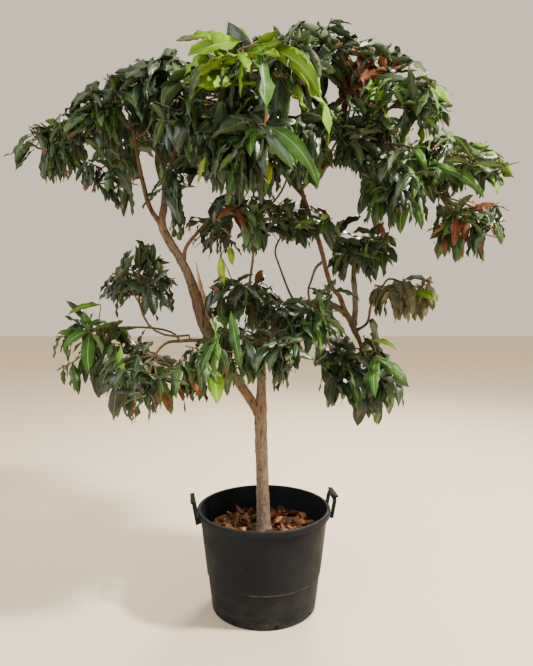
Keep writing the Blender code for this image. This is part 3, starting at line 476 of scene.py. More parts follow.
# Each bough: its name, the limb that carries it, whether it goes on from that limb's tip, its points, and
# its radius at each point, the first of them at the tip it goes on from
BOUGHS = [
    ("left_bough", "trunk", False,
     [(-0.012, 0, 0.725), (-0.067, -0.01, 0.812), (-0.159, -0.03, 0.957), (-0.215, -0.045, 1.07),
      (-0.255, -0.06, 1.211)],
     [0.017, 0.0172, 0.02, 0.024, 0.0185]),
    ("upper_left_bough", "left_bough", True,
     [(-0.292, -0.07, 1.296), (-0.354, -0.068, 1.405), (-0.351, -0.06, 1.49), (-0.343, -0.02, 1.6),
      (-0.3, 0.01, 1.74)],
     [0.0175, 0.0155, 0.015, 0.0125, 0.0105, 0.008]),
    ("far_left_branch", "upper_left_bough", False,
     [(-0.354, -0.068, 1.408), (-0.398, -0.082, 1.48), (-0.42, -0.09, 1.57), (-0.452, -0.1, 1.74)],
     [0.009, 0.0086, 0.008, 0.0058]),
    ("left_wing_branch", "far_left_branch", True,
     [(-0.52, -0.1, 1.8), (-0.62, -0.085, 1.795), (-0.7, -0.07, 1.76)],
     [0.0056, 0.0052, 0.0046, 0.004]),
    ("inner_spur", "upper_left_bough", False,
     [(-0.285, -0.069, 1.29), (-0.272, -0.07, 1.343), (-0.23, -0.06, 1.398)],
     [0.0072, 0.0068, 0.0058]),
    ("left_low_limb", "left_bough", False,
     [(-0.172, -0.034, 0.985), (-0.235, -0.07, 1.01), (-0.31, -0.1, 1.01)],
     [0.0085, 0.0075, 0.006]),
    ("right_bough", "trunk", False,
     [(-0.0075, 0, 0.95), (0.042, 0.05, 1.048), (0.138, 0.1, 1.122), (0.237, 0.13, 1.135),
      (0.32, 0.15, 1.095), (0.364, 0.16, 1.015)],
     [0.0125, 0.0142, 0.0138, 0.0132, 0.0128, 0.012]),
    ("right_leader", "right_bough", False,
     [(0.322, 0.15, 1.09), (0.294, 0.12, 1.16), (0.253, 0.1, 1.215), (0.206, 0.06, 1.37),
      (0.14, 0.02, 1.546), (0.12, 0, 1.66), (0.135, 0, 1.8)],
     [0.0105, 0.0098, 0.0092, 0.0085, 0.0078, 0.007, 0.0055]),
    ("grey_limb", "right_bough", False,
     [(0.352, 0.159, 1.05), (0.366, 0.2, 1.12), (0.358, 0.202, 1.23)],
     [0.0115, 0.012, 0.0115]),
    ("right_twig", "right_bough", False,
     [(0.361, 0.159, 1.027), (0.402, 0.13, 1.062), (0.418, 0.125, 1.14), (0.462, 0.112, 1.212)],
     [0.0056, 0.0054, 0.005, 0.0044]),
    ("centre_stem", "trunk", True,
     [(-0.03, -0.01, 1.07), (-0.052, -0.02, 1.18), (-0.04, -0.015, 1.3)],
     [0.0075, 0.0062, 0.005, 0.0046]),
    ("slender_stem", "right_bough", False,
     [(0.13, 0.098, 1.119), (0.092, 0.07, 1.19), (0.05, 0.05, 1.3)],
     [0.0055, 0.0044, 0.0038]),
    ("arc_twig", "right_leader", False,
     [(0.228, 0.08, 1.298), (0.195, 0.05, 1.272), (0.172, 0.02, 1.215)],
     [0.0058, 0.0052, 0.0045]),
    ("front_bough", "right_leader", False,
     [(0.121, 0.002, 1.64), (0.09, -0.12, 1.73), (0.04, -0.26, 1.79), (0, -0.36, 1.83)],
     [0.0066, 0.0062, 0.0056, 0.0048]),
    ("right_wing_bough", "right_leader", False,
     [(0.136, 0.018, 1.56), (0.27, 0, 1.665), (0.4, -0.06, 1.7), (0.56, -0.1, 1.67)],
     [0.0072, 0.0068, 0.006, 0.0048]),
    ("back_left_bough", "upper_left_bough", False,
     [(-0.344, -0.022, 1.595), (-0.4, 0.12, 1.7), (-0.45, 0.24, 1.76)],
     [0.0085, 0.007, 0.0052]),
    ("back_bough", "right_leader", False,
     [(0.148, 0.024, 1.528), (0.06, 0.16, 1.65), (-0.04, 0.3, 1.76)],
     [0.007, 0.0062, 0.005]),
    ("back_right_bough", "right_leader", False,
     [(0.12, 0.001, 1.69), (0.24, 0.13, 1.76), (0.33, 0.25, 1.79)],
     [0.006, 0.0056, 0.005]),
]

RING_SPACING = 0.0045  # between the rings of verts along a limb
TRUNK_SIDES = 28
THICK_SIDES = 20
THIN_SIDES = 12
THICK_RADIUS = 0.012  # a bough that gets thicker than this has the sides of a thick one
COLLAR_LENGTH = 0.0125  # in which the swelling at a bough's foot falls to about a third
COLLAR_SWELL = 0.35
RIDGE_DEPTH = 0.0011
GRAIN_DEPTH = 0.0003
LUMP_DEPTH = 0.0019
PIT_DEPTH = 0.0045
SCAR_DEPTH = 0.0034
SCAR_SPACING = 0.031  # between the old leaf scars that ring a limb
FULL_RELIEF_RADIUS = 0.014  # limbs thinner than this have shallower bark
OFF_AXIS = Vector((0.31, 0.95, 0.05))  # a direction that no limb follows
limbs = {}


def frames_along(path, start):
    """A frame for each point of the path, its Z along the path, carried on without twisting."""
    last = len(path) - 1
    tangents = []
    for at in range(len(path)):
        tangents.append((path[min(at + 1, last)] - path[max(at - 1, 0)]).normalized())
    if start:
        tangents[0] = start
    side = tangents[0].cross(OFF_AXIS).normalized()
    frames = []
    for point, tangent in zip(path, tangents):
        side = (side - tangent * side.dot(tangent)).normalized()
        turn = Matrix((side, tangent.cross(side), tangent)).transposed().to_4x4()
        frames.append(Matrix.Translation(point) @ turn)
    return frames


def tube(path, radii, sides, start=None):
    """A closed tube drawn along the path. Gives its bmesh, and the verts of each ring."""
    bm = bmesh.new()
    frames = frames_along(path, start)
    bmesh.ops.create_circle(bm, cap_ends=True, segments=sides, radius=radii[0], matrix=frames[0])
    front = bm.faces[:][0]
    rings = [front.verts[:]]
    for near, far, grow in zip(frames, frames[1:], [b / a for a, b in zip(radii, radii[1:])]):
        made = bmesh.ops.extrude_face_region(bm, geom=[front, *front.edges, *front.verts])["geom"]
        front = next(item for item in made if isinstance(item, bmesh.types.BMFace))
        bmesh.ops.transform(bm, matrix=far @ Matrix.Scale(grow, 4) @ near.inverted(), verts=front.verts[:])
        rings.append(front.verts[:])
    bmesh.ops.recalc_face_normals(bm, faces=bm.faces[:])
    return bm, rings


def smooth_path(points, values, spacing):
    """A Catmull-Rom curve through the points, about evenly divided, with the values carried along it."""
    path, carried = [], []
    for at in range(len(points) - 1):
        b, c = points[at], points[at + 1]
        a = points[at - 1] if at else b - (c - b)
        d = points[at + 2] if at + 2 < len(points) else c + (c - b)
        steps = max(1, round((c - b).length / spacing))
        for step in range(steps):
            t = step / steps
            path.append(0.5 * (2 * b + (c - a) * t + (2 * a - 5 * b + 4 * c - d) * t * t
                               + (3 * b - a - 3 * c + d) * t ** 3))
            carried.append(values[at] + (values[at + 1] - values[at]) * t)
    return path + [points[-1]], carried + [values[-1]]


def bark_height(point, run, radius, seed):
    """How far the bark stands out: long ridges, broad lumps and pits, and uneven old leaf scars."""
    ridges = noise.noise(Vector((point.x * 190, point.y * 190, point.z * 26 + seed))) * RIDGE_DEPTH
    grain = noise.noise(point * 420) * GRAIN_DEPTH
    lumps = noise.noise(point * 27 + Vector((seed, 0, 0))) * LUMP_DEPTH
    pits = min(0.0, noise.noise(point * 75 + Vector((0, seed, 0))) + 0.28) * PIT_DEPTH
    order = run / SCAR_SPACING + 1.6 * noise.noise(Vector((point.x * 9, point.y * 9, run * 7 + seed)))
    scar = max(0.0, 1 - abs(order - round(order)) * 9)
    strong = max(0.0, noise.noise(Vector((point.x * 34, point.y * 34, round(order) * 1.7 + seed))))
    relief = ridges + grain + lumps + pits + scar * strong * SCAR_DEPTH
    return relief * min(1, radius / FULL_RELIEF_RADIUS)


def grow_limb(name, points, radii, finish, sides, start=None, carrier=None):
    """One limb, its bark in relief. A collar swells it where it leaves its carrier's side."""
    path, widths = smooth_path([Vector(point) for point in points], radii, RING_SPACING)
    limbs[name] = {"path": path, "widths": widths}
    runs = [0]
    for near, far in zip(path, path[1:]):
        runs.append(runs[-1] + (far - near).length)
    if carrier:
        places = zip(limbs[carrier]["path"], limbs[carrier]["widths"])
        thick = min(places, key=lambda place: (place[0] - path[0]).length)[1]
        for at, along in enumerate(runs):
            past = max(0.0, along - thick * 0.8)
            widths[at] *= 1 + COLLAR_SWELL * math.exp(-past / COLLAR_LENGTH)
    bm, rings = tube(path, widths, sides, start=start)
    seed = sum(ord(letter) for letter in name) * 0.37
    for ring, centre, along, width in zip(rings, path, runs, widths):
        for vert in ring:
            out = (vert.co - centre).normalized()
            vert.co += out * bark_height(vert.co, along, width, seed)
    add_piece(name + "_bark", bm, [finish], [name], smooth=180)


def bark(name, pale, mid, dark, moss):
    """Bark with lengthwise streaks and fissures, darker scars and pores, and greyer patches."""
    finish = new_finish(name, mid, 0.85, Specular_IOR_Level=0.2)
    streaks = patches(finish, 60, 0.30, 0.70, (1, 1, 0.16), 8)
    tone = blend(finish, streaks, pale, mid)
    patchy = blend(finish, times(finish, patches(finish, 17, 0.42, 0.62), 0.7), moss, tone)
    scars = patches(finish, 34, 0.60, 0.70, (0.6, 0.6, 2.2), 5)
    scarred = blend(finish, times(finish, scars, 0.45), dark, patchy)
    fissures = patches(finish, 110, 0.56, 0.66, (1, 1, 0.16), 6)
    split = blend(finish, times(finish, fissures, 0.8), dark, scarred)
    pits = patches(finish, 150, 0.60, 0.68, (1, 1, 0.55), 4)
    connect(finish, blend(finish, times(finish, pits, 0.75), dark, split), "Base Color")
    bump(finish, patches(finish, 150, 0.25, 0.75, (1, 1, 0.25), 8), 0.0035, 1.0)
    return finish


trunk_bark = bark("trunk_bark", (0.29, 0.21, 0.145), (0.16, 0.11, 0.072), (0.045, 0.03, 0.02),
                  (0.24, 0.195, 0.15))
bough_bark = bark("bough_bark", (0.29, 0.19, 0.12), (0.16, 0.095, 0.055), (0.045, 0.028, 0.018),
                  (0.21, 0.165, 0.12))
brown_bark = bark("brown_bark", (0.25, 0.14, 0.08), (0.14, 0.070, 0.040), (0.05, 0.03, 0.018),
                  (0.17, 0.11, 0.075))
grey_bark = bark("grey_bark", (0.28, 0.25, 0.21), (0.18, 0.155, 0.13), (0.08, 0.065, 0.05),
                 (0.23, 0.22, 0.17))
LIMB_BARK = {"far_left_branch": brown_bark, "left_wing_branch": brown_bark, "inner_spur": brown_bark,
             "right_leader": brown_bark, "slender_stem": brown_bark, "grey_limb": grey_bark}

trunk_points = [(x, 0, z) for x, z, _ in TRUNK]
trunk_radii = [radius for _, _, radius in TRUNK]
grow_limb("trunk", trunk_points, trunk_radii, trunk_bark, TRUNK_SIDES, start=UP)
for name, carrier, goes_on, points, radii in BOUGHS:
    if goes_on:
        points = [limbs[carrier]["path"][-1], *points]
    sides = THICK_SIDES if max(radii) > THICK_RADIUS else THIN_SIDES
    finish = LIMB_BARK.get(name, bough_bark)
    grow_limb(name, points, radii, finish, sides, carrier=None if goes_on else carrier)

# Splinter: the sliver of bare wood, cream turning to orange, that tore loose along the left bough's
# inner side and stands up from it.

SPLINTER = [(-0.200, -0.050, 1.075), (-0.212, -0.052, 1.150), (-0.229, -0.054, 1.220),
            (-0.241, -0.055, 1.290)]
SPLINTER_RADII = [0.011, 0.009, 0.006, 0.0012]
RAGGEDNESS = 0.55
bare_wood = new_finish("bare_wood", (0.55, 0.31, 0.14), 0.75)
fibres = patches(bare_wood, 150, 0.35, 0.65, (1, 1, 0.12), 6)
connect(bare_wood, blend(bare_wood, fibres, (0.68, 0.45, 0.26), (0.42, 0.19, 0.075)), "Base Color")
bump(bare_wood, fibres, 0.0015, 0.9)
path, widths = smooth_path([Vector(point) for point in SPLINTER], SPLINTER_RADII, 0.004)
splinter, rings = tube(path, widths, 10)
for ring, centre in zip(rings, path):
    for number, vert in enumerate(ring):
        ragged = noise.noise(Vector((number * 1.9, 4, centre.z * 30)))
        vert.co += (vert.co - centre) * RAGGEDNESS * ragged
add_piece("torn_splinter", splinter, [bare_wood], ["left_bough"], smooth=60)

# Foliage: each mass of the crown grows from one stem by the seeded rule, in its own space: shoots leave
# the stem's end, turn up at their tips, and bear a whorl of drooping leaves there. The space is an
# ellipsoid, cut flat where it meets its neighbours, and nothing grows through a limb.

GOLDEN_ANGLE = math.pi * (3 - math.sqrt(5))
MINGLE = 0.045  # how far leaves reach in among those of the next mass
LEAF_REACH = 1.15  # how far out leaves grow, where 1 is the ellipsoid's skin
HUB_LIFT = 0.30  # how far over the mass's middle its stem ends, of its half height
STEM_TIP_RADIUS = 0.0042
SHOOT_RADIUS = 0.0036
SHOOT_TIP_RADIUS = 0.0022
WHORL_LENGTH = 0.070
STEM_SIDES = 8
TWIG_SIDES = 6
SHOOT_TOP = 0.85  # how far over the mass's middle its first shoot ends, of its half height
SHOOT_RANGE = 1.35  # how much lower its last shoot ends
SHOOT_SHARES = (0.30, 0.78)  # how far from the middle shoots end, of the mass's reach
SHOOT_RISE = 0.6  # how steeply their tips turn up
SHOOT_TRIES = 8
RETRY_LOWER = 0.05  # what each new try of a shoot changes: it ends lower, turned round and nearer
RETRY_TURN = 0.8
RETRY_NEARER = 0.06
STEM_SINK = 0.002  # how far back in its limb's tip a stem starts
STEM_SHARE = 0.6  # how far from a limb's middle it starts, and how thick, of the limb's radius
STEM_MOST_RADIUS = 0.0062


class Mass:
    """One mass: its name, the limb and place it grows from, its centre and reach, and what it bears.

    shoots and leaves are how many, length is a leaf's, hang is how far leaves droop, tints says how its
    sprays are coloured, tips are points that a leaf must reach, and by is a place the stem bends past.
    """

    def __init__(self, name, limb, place, centre, reach, shoots, leaves, length, tints, hang=0.55, tips=(),
                 by=None):
        self.name = "foliage_" + name
        self.limb = limbs[limb]
        self.place = place
        self.centre = Vector(centre)
        self.reach = Vector(reach)
        self.shoots = shoots
        self.leaves = leaves
        self.length = length
        self.tints = tints
        self.hang = hang
        self.tips = tips
        self.by = by
        self.hub = self.centre + UP * self.reach.z * HUB_LIFT
        self.weight = (self.reach.x * self.reach.y * self.reach.z) ** (2 / 3)

    def holds(self, point):
        """True if the point is in this mass's ellipsoid, and hardly in the space of any other mass."""
        away = point - self.centre
        if sum((away[axis] / self.reach[axis]) ** 2 for axis in range(3)) > LEAF_REACH ** 2:
            return False
        mine = away.length_squared - self.weight
        for other in masses:
            if other is self:
                continue
            theirs = (point - other.centre).length_squared - other.weight
            if mine > theirs + 2 * MINGLE * (other.centre - self.centre).length:
                return False
        return True


# How sprays are coloured: each word stands for one share of the deal
SHADE = ("dark",) * 8 + ("mid",) * 3 + ("fresh",)
DEEP = ("dark",) * 9 + ("mid",) * 2
# LIVELY and YOUNG also deal the lightest green, which is partly painted glow of sun shining through young
# leaves
LIVELY = ("dark",) * 5 + ("mid",) * 4 + ("fresh",) * 2 + ("bright",)
YOUNG = ("bright",) + ("mid",) * 2 + ("dark",) * 3
SINGED = ("dark",) * 5 + ("mid",) * 3 + ("rust",) * 4
DRYING = ("dark",) * 5 + ("grey",) * 2 + ("mid",) * 2 + ("rust",)
WILTED = ("olive",)

CROWN = {
    "left": [
        Mass("left_tip", "left_wing_branch", "tip", (-0.77, -0.05, 1.69), (0.135, 0.17, 0.125), 14, 10,
             0.14, SHADE, tips=[(-0.915, -0.05, 1.655), (-0.86, -0.09, 1.6), (-0.74, -0.05, 1.575)]),
        Mass("left_wing", "left_wing_branch", 0.45, (-0.58, -0.09, 1.77), (0.15, 0.22, 0.14), 18, 10, 0.15,
             SHADE),
        Mass("left_shoulder", "far_left_branch", 0.92, (-0.38, -0.12, 1.85), (0.15, 0.24, 0.14), 20, 11,
             0.16, DEEP),
        Mass("left_hang", "far_left_branch", 0.55, (-0.515, -0.1, 1.58), (0.11, 0.14, 0.15), 5, 10, 0.15,
             SHADE, hang=0.8),
        Mass("left_inner", "upper_left_bough", 0.66, (-0.32, -0.04, 1.545), (0.11, 0.16, 0.215), 7, 10,
             0.15, DEEP, hang=0.8),
        Mass("left_shoot", "left_low_limb", 0.7, (-0.43, -0.12, 1.21), (0.13, 0.16, 0.14), 15, 8, 0.14,
             SHADE, hang=0.1, tips=[(-0.44, -0.12, 1.345)], by=(-0.46, -0.12, 1.0)),
        Mass("left_spray", "left_low_limb", 0.9, (-0.6, -0.1, 1.0), (0.12, 0.15, 0.18), 10, 9, 0.14, LIVELY,
             hang=0.45, tips=[(-0.7, -0.1, 1.1), (-0.59, -0.1, 0.81)]),
        Mass("left_low", "left_low_limb", "tip", (-0.39, -0.15, 0.89), (0.17, 0.2, 0.155), 18, 10, 0.15,
             DRYING, hang=0.65, tips=[(-0.45, -0.15, 0.73)]),
    ],
    "middle": [
        Mass("heart", "upper_left_bough", "tip", (-0.21, 0.08, 1.88), (0.21, 0.22, 0.14), 22, 11, 0.16,
             DEEP, hang=0.4),
        Mass("centre_left", "front_bough", 0.62, (-0.18, -0.23, 1.74), (0.16, 0.22, 0.18), 22, 11, 0.17,
             DEEP, hang=0.7),
        Mass("top_front", "front_bough", "tip", (-0.02, -0.46, 1.81), (0.2, 0.19, 0.135), 12, 11, 0.18,
             YOUNG, hang=0.35),
        Mass("centre_front", "front_bough", 0.8, (-0.04, -0.34, 1.62), (0.16, 0.2, 0.16), 18, 11, 0.17,
             SHADE, hang=0.8),
        Mass("centre_right", "front_bough", 0.3, (0.12, -0.17, 1.68), (0.14, 0.19, 0.16), 16, 11, 0.16,
             SHADE, hang=0.7),
        Mass("mid_left", "inner_spur", "tip", (-0.135, -0.03, 1.42), (0.145, 0.18, 0.12), 9, 10, 0.13,
             DRYING),
        Mass("mid_centre", "centre_stem", "tip", (-0.01, -0.02, 1.43), (0.13, 0.19, 0.13), 9, 10, 0.13,
             SHADE),
        Mass("mid_right", "slender_stem", "tip", (0.16, 0.05, 1.43), (0.13, 0.18, 0.12), 9, 10, 0.13,
             SHADE),
        Mass("arc", "arc_twig", "tip", (0.17, -0.03, 1.1), (0.17, 0.16, 0.14), 12, 10, 0.15, SHADE,
             hang=0.7),
        Mass("centre", "centre_stem", 0.62, (-0.09, 0.01, 1.16), (0.14, 0.18, 0.12), 10, 10, 0.13, DRYING,
             hang=0.7),
        Mass("centre_low", "centre_stem", 0.12, (0.02, -0.13, 0.98), (0.15, 0.17, 0.14), 15, 10, 0.15,
             SHADE, hang=0.8),
        Mass("left_of_trunk", "left_bough", 0.55, (-0.17, -0.15, 0.95), (0.11, 0.15, 0.16), 10, 9, 0.15,
             LIVELY, hang=0.9),
    ],
    "right": [
        Mass("top_right", "right_leader", "tip", (0.14, 0.0, 1.975), (0.2, 0.24, 0.14), 24, 11, 0.16, DEEP,
             hang=0.35, tips=[(0.15, 0.0, 2.12), (0.26, 0.0, 2.095)]),
        Mass("right_upper", "right_wing_bough", 0.45, (0.39, -0.03, 1.91), (0.15, 0.24, 0.12), 18, 10, 0.14,
             SINGED, hang=0.4, tips=[(0.43, -0.04, 2.035), (0.535, -0.05, 1.95)]),
        Mass("right_inner", "right_wing_bough", 0.3, (0.28, -0.1, 1.69), (0.13, 0.2, 0.15), 14, 10, 0.15,
             DEEP, hang=0.7),
        Mass("right_rosette", "right_wing_bough", 0.6, (0.46, -0.19, 1.78), (0.15, 0.18, 0.125), 16, 10,
             0.14, LIVELY, tips=[(0.6, -0.2, 1.8)]),
        Mass("right_hanging", "right_wing_bough", 0.74, (0.45, -0.14, 1.54), (0.15, 0.2, 0.15), 18, 10,
             0.16, SHADE, hang=0.8),
        Mass("right_wing", "right_wing_bough", "tip", (0.68, -0.1, 1.62), (0.165, 0.2, 0.11), 16, 10, 0.14,
             LIVELY, hang=0.35, tips=[(0.855, -0.1, 1.58), (0.77, -0.1, 1.7)]),
        Mass("right_tip", "right_wing_bough", 0.95, (0.7, -0.08, 1.42), (0.13, 0.17, 0.14), 14, 10, 0.14,
             SINGED, hang=0.8, tips=[(0.775, -0.08, 1.29)]),
        Mass("right_mid", "grey_limb", "tip", (0.37, 0.17, 1.34), (0.14, 0.17, 0.13), 11, 10, 0.2, SHADE,
             hang=0.75),
        Mass("wilted", "right_twig", "tip", (0.53, 0.11, 1.18), (0.12, 0.13, 0.12), 14, 10, 0.15, WILTED,
             hang=2.4),
        Mass("low_right", "right_bough", "tip", (0.38, 0.1, 0.87), (0.17, 0.2, 0.19), 17, 10, 0.25, SHADE,
             hang=1.15, tips=[(0.43, 0.1, 0.67)]),
    ],
    "back": [
        Mass("back_left", "back_left_bough", "tip", (-0.5, 0.33, 1.8), (0.23, 0.24, 0.18), 18, 10, 0.17,
             SHADE),
        Mass("back", "back_bough", "tip", (-0.1, 0.41, 1.83), (0.24, 0.24, 0.19), 16, 10, 0.17, SHADE),
        Mass("back_right", "back_right_bough", "tip", (0.35, 0.34, 1.82), (0.24, 0.24, 0.19), 18, 10, 0.17,
             SHADE),
        Mass("right_back", "back_right_bough", 0.8, (0.59, 0.19, 1.65), (0.17, 0.2, 0.14), 14, 10, 0.16,
             SHADE),
        Mass("back_mid", "back_bough", 0.35, (-0.01, 0.28, 1.46), (0.14, 0.16, 0.14), 7, 10, 0.15, SHADE,
             hang=0.7),
        Mass("back_low", "right_bough", 0.3, (0.06, 0.25, 1.07), (0.13, 0.15, 0.14), 8, 10, 0.15, SHADE,
             hang=0.7),
    ],
}
masses = [mass for group in CROWN.values() for mass in group]
for part, group in CROWN.items():
    for mass in group:
        mass.part = part

limb_tree_mesh = bmesh.new()
for name in [*limbs, "tub", "soil"]:
    limb_tree_mesh.from_mesh(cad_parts[name].data)
limb_tree = BVHTree.FromBMesh(limb_tree_mesh)
limb_tree_mesh.free()


def clear_of_limbs(points, room):
    """True if no run between the points crosses a limb and none of them comes nearer than the room."""
    for near, far in zip(points, points[1:]):
        if limb_tree.ray_cast(near, far - near, (far - near).length)[0]:
            return False
    return all(limb_tree.find_nearest(point)[3] > room for point in points[1:])


def bend(a, b, c, steps):
    """A curve from a to c that leaves a towards b."""
    return [a.lerp(b, t).lerp(b.lerp(c, t), t) for t in (step / steps for step in range(steps + 1))]


def shoot_line(start, end, share, rise, steps):
    """A shoot's line: it heads for a place over the line to its end, at a share of the way."""
    return bend(start, start.lerp(end, share) + UP * rise, end, steps)


def taper(first, last, count):
    return [first + (last - first) / (count - 1) * at for at in range(count)]


def stem_path(mass):
    """The stem's path from inside its limb to the mass's hub, and its radius at the foot."""
    path, widths = mass.limb["path"], mass.limb["widths"]
    if mass.place == "tip":
        along = (path[-1] - path[-2]).normalized()
        foot, up, radius = path[-1] - along * STEM_SINK, along, widths[-1] * 0.92
    else:
        at = round(mass.place * (len(path) - 1))
        tangent = (path[min(at + 1, len(path) - 1)] - path[at - 1]).normalized()
        out = mass.hub - path[at]
        up = (out - tangent * out.dot(tangent)).normalized()
        foot = path[at] + up * widths[at] * STEM_SHARE
        radius = min(STEM_MOST_RADIUS, widths[at] * STEM_SHARE)
    first = foot + up * 0.014
    span = (mass.hub - foot).length
    by = Vector(mass.by) if mass.by else first + up * span * 0.35
    return [foot] + bend(first, by, mass.hub, 8), radius


# Leaves: leathery mango leaves, most of them 7 to 16 cm long, on short stalks. The blade folds up from a
# pale midrib, its edges wave, and it arches over and hangs. Some have dried tips. Each colour is a finish
# of its own, and a leaf's underside is paler and duller than its face.

LEAF_ROWS = 8
LEAF_COLUMNS = (-1.0, -0.06, 0.06, 1.0)  # across the blade: edge, midrib, midrib, edge
LEAF_THICKNESS = 0.0005
LEAF_WIDTH = 0.285  # of its length
LEAF_STALK = 0.10  # of its length
LEAF_FOOT = 0.012  # the first of a leaf's length, which may touch wood
STALK_HALF_WIDTH = 0.0013
LEAST_HALF_WIDTH = 0.0006
FULL_RISE_WIDTH = 0.006  # a blade narrower than this lies flatter
EDGE_LAG = 1.3  # how far one edge's waves are behind the other's
RIB, DRY = 1, 2  # which finish of the leaf's own three a face takes
DRY_TIP_CHANCE = 0.04

LEAF_TINTS = {  # face, underside, midrib, roughness
    "dark": ((0.027, 0.056, 0.024), (0.048, 0.076, 0.036), (0.12, 0.15, 0.07), 0.34),
    "mid": ((0.046, 0.100, 0.024), (0.070, 0.120, 0.040), (0.18, 0.24, 0.08), 0.36),
    "fresh": ((0.048, 0.140, 0.020), (0.085, 0.180, 0.035), (0.26, 0.35, 0.09), 0.42),
    # the lightest green: young leaves' colour, lightened further as painted glow of sun shining through the
    # blade
    "bright": ((0.125, 0.255, 0.008), (0.165, 0.300, 0.016), (0.30, 0.40, 0.07), 0.48),
    "yellow": ((0.240, 0.330, 0.010), (0.260, 0.350, 0.020), (0.42, 0.46, 0.08), 0.50),
    "grey": ((0.085, 0.085, 0.055), (0.135, 0.120, 0.085), (0.20, 0.165, 0.11), 0.75),
    "rust": ((0.150, 0.052, 0.020), (0.200, 0.080, 0.034), (0.24, 0.12, 0.055), 0.66),
    "olive": ((0.110, 0.108, 0.055), (0.150, 0.138, 0.080), (0.20, 0.17, 0.10), 0.78),
}


def leaf_finish(name, colour, roughness, gloss):
    shine = 0.50 if roughness < 0.4 else 0.24 if roughness < 0.7 else 0.12
    finish = new_finish(name, colour, roughness, Specular_IOR_Level=shine, Coat_Weight=gloss,
                        Coat_Roughness=0.3)
    darker = tuple(part * 0.55 for part in colour)
    lighter = tuple(min(1, part * 1.45) for part in colour)
    connect(finish, blend(finish, patches(finish, 13, 0.3, 0.7, detail=6), lighter, darker), "Base Color")
    bump(finish, patches(finish, 95, 0.3, 0.7, detail=3), 0.0016, 0.5)
    return finish


def leaf_finishes(tint):
    face, under, rib, roughness = LEAF_TINTS[tint]
    gloss = 0.16 if roughness < 0.35 else 0
    dry = new_finish("leaf_" + tint + "_dry", (0.16, 0.075, 0.035), 0.75)
    rib_finish = new_finish("leaf_" + tint + "_rib", rib, 0.5)
    return [
        leaf_finish("leaf_" + tint + "_face", face, roughness, gloss), rib_finish, dry,
        leaf_finish("leaf_" + tint + "_under", under, min(0.9, roughness + 0.25), 0), rib_finish, dry,
    ]


def half_width(t):
    """A mango leaf's outline: a thin stalk, a long even blade, and a drawn-out tip."""
    if t < LEAF_STALK:
        return 0
    s = (t - LEAF_STALK) / (1 - LEAF_STALK)
    return math.sin(math.pi * s ** 0.80) ** 0.64 * (1 - 0.20 * s)


blade_mesh = bpy.data.meshes.new("one_blade")


def level_across(way):
    level = way.cross(UP)
    return level.normalized() if level.length > 0.05 else Vector((1, 0, 0))


def leaf(target, root, way, length, width, droop, roll, draw):
    """One leaf, added to the target. Its line starts along the way and turns down by the droop."""
    level = level_across(way)
    side = Matrix.Rotation(roll, 3, way) @ level
    twist = draw.uniform(-1.1, 1.1)
    fold = draw.uniform(0.02, 0.32)
    wave = length * draw.uniform(0.022, 0.058)
    ripples = draw.uniform(2.2, 3.8)
    phase = draw.uniform(0, math.tau)
    curl = draw.uniform(-0.35, 0.35)
    dry_from = draw.uniform(0.75, 0.9) if draw.random() < DRY_TIP_CHANCE else 2
    rows = []
    spot = root.copy()
    for row in range(LEAF_ROWS + 1):
        t = row / LEAF_ROWS
        sideways = Matrix.Rotation(curl * t * t, 3, side.cross(way))
        turn = Matrix.Rotation(-droop * t ** 1.2, 3, level) @ sideways
        along = turn @ way
        across = Matrix.Rotation(twist * t, 3, along) @ (turn @ side)
        wide = max(STALK_HALF_WIDTH * (1 - t), half_width(t) * width / 2)
        rows.append((spot.copy(), across, across.cross(along), wide))
        spot += along * length / LEAF_ROWS
    blade = bmesh.new()
    bmesh.ops.create_grid(blade, x_segments=len(LEAF_COLUMNS) - 1, y_segments=LEAF_ROWS, size=1)
    for face in blade.faces:
        centre = face.calc_center_median()
        if (centre.y + 1) / 2 > dry_from:
            face.material_index = DRY
        elif abs(centre.x) < 0.1:
            face.material_index = RIB
    for vert in blade.verts:
        u = LEAF_COLUMNS[round((vert.co.x + 1) / 2 * (len(LEAF_COLUMNS) - 1))]
        t = (vert.co.y + 1) / 2
        spot, across, over, wide = rows[round(t * LEAF_ROWS)]
        ripple = math.sin(phase + ripples * math.tau * t + (EDGE_LAG if u > 0 else 0))
        rise = fold * abs(u) * wide + wave * u * u * ripple
        lift = over * rise * min(1, wide / FULL_RISE_WIDTH)
        vert.co = spot + across * u * max(wide, LEAST_HALF_WIDTH) + lift
    blade.to_mesh(blade_mesh)
    blade.free()
    target.from_mesh(blade_mesh)


def leaf_line(root, way, length, droop):
    """Three points along the leaf's middle, to test its place with."""
    level = level_across(way)
    points = [root + way * LEAF_FOOT]
    spot = root
    for t in (0.25, 0.75):
        spot = spot + (Matrix.Rotation(-droop * t ** 1.2, 3, level) @ way) * length / 2
        points.append(spot)
    return points


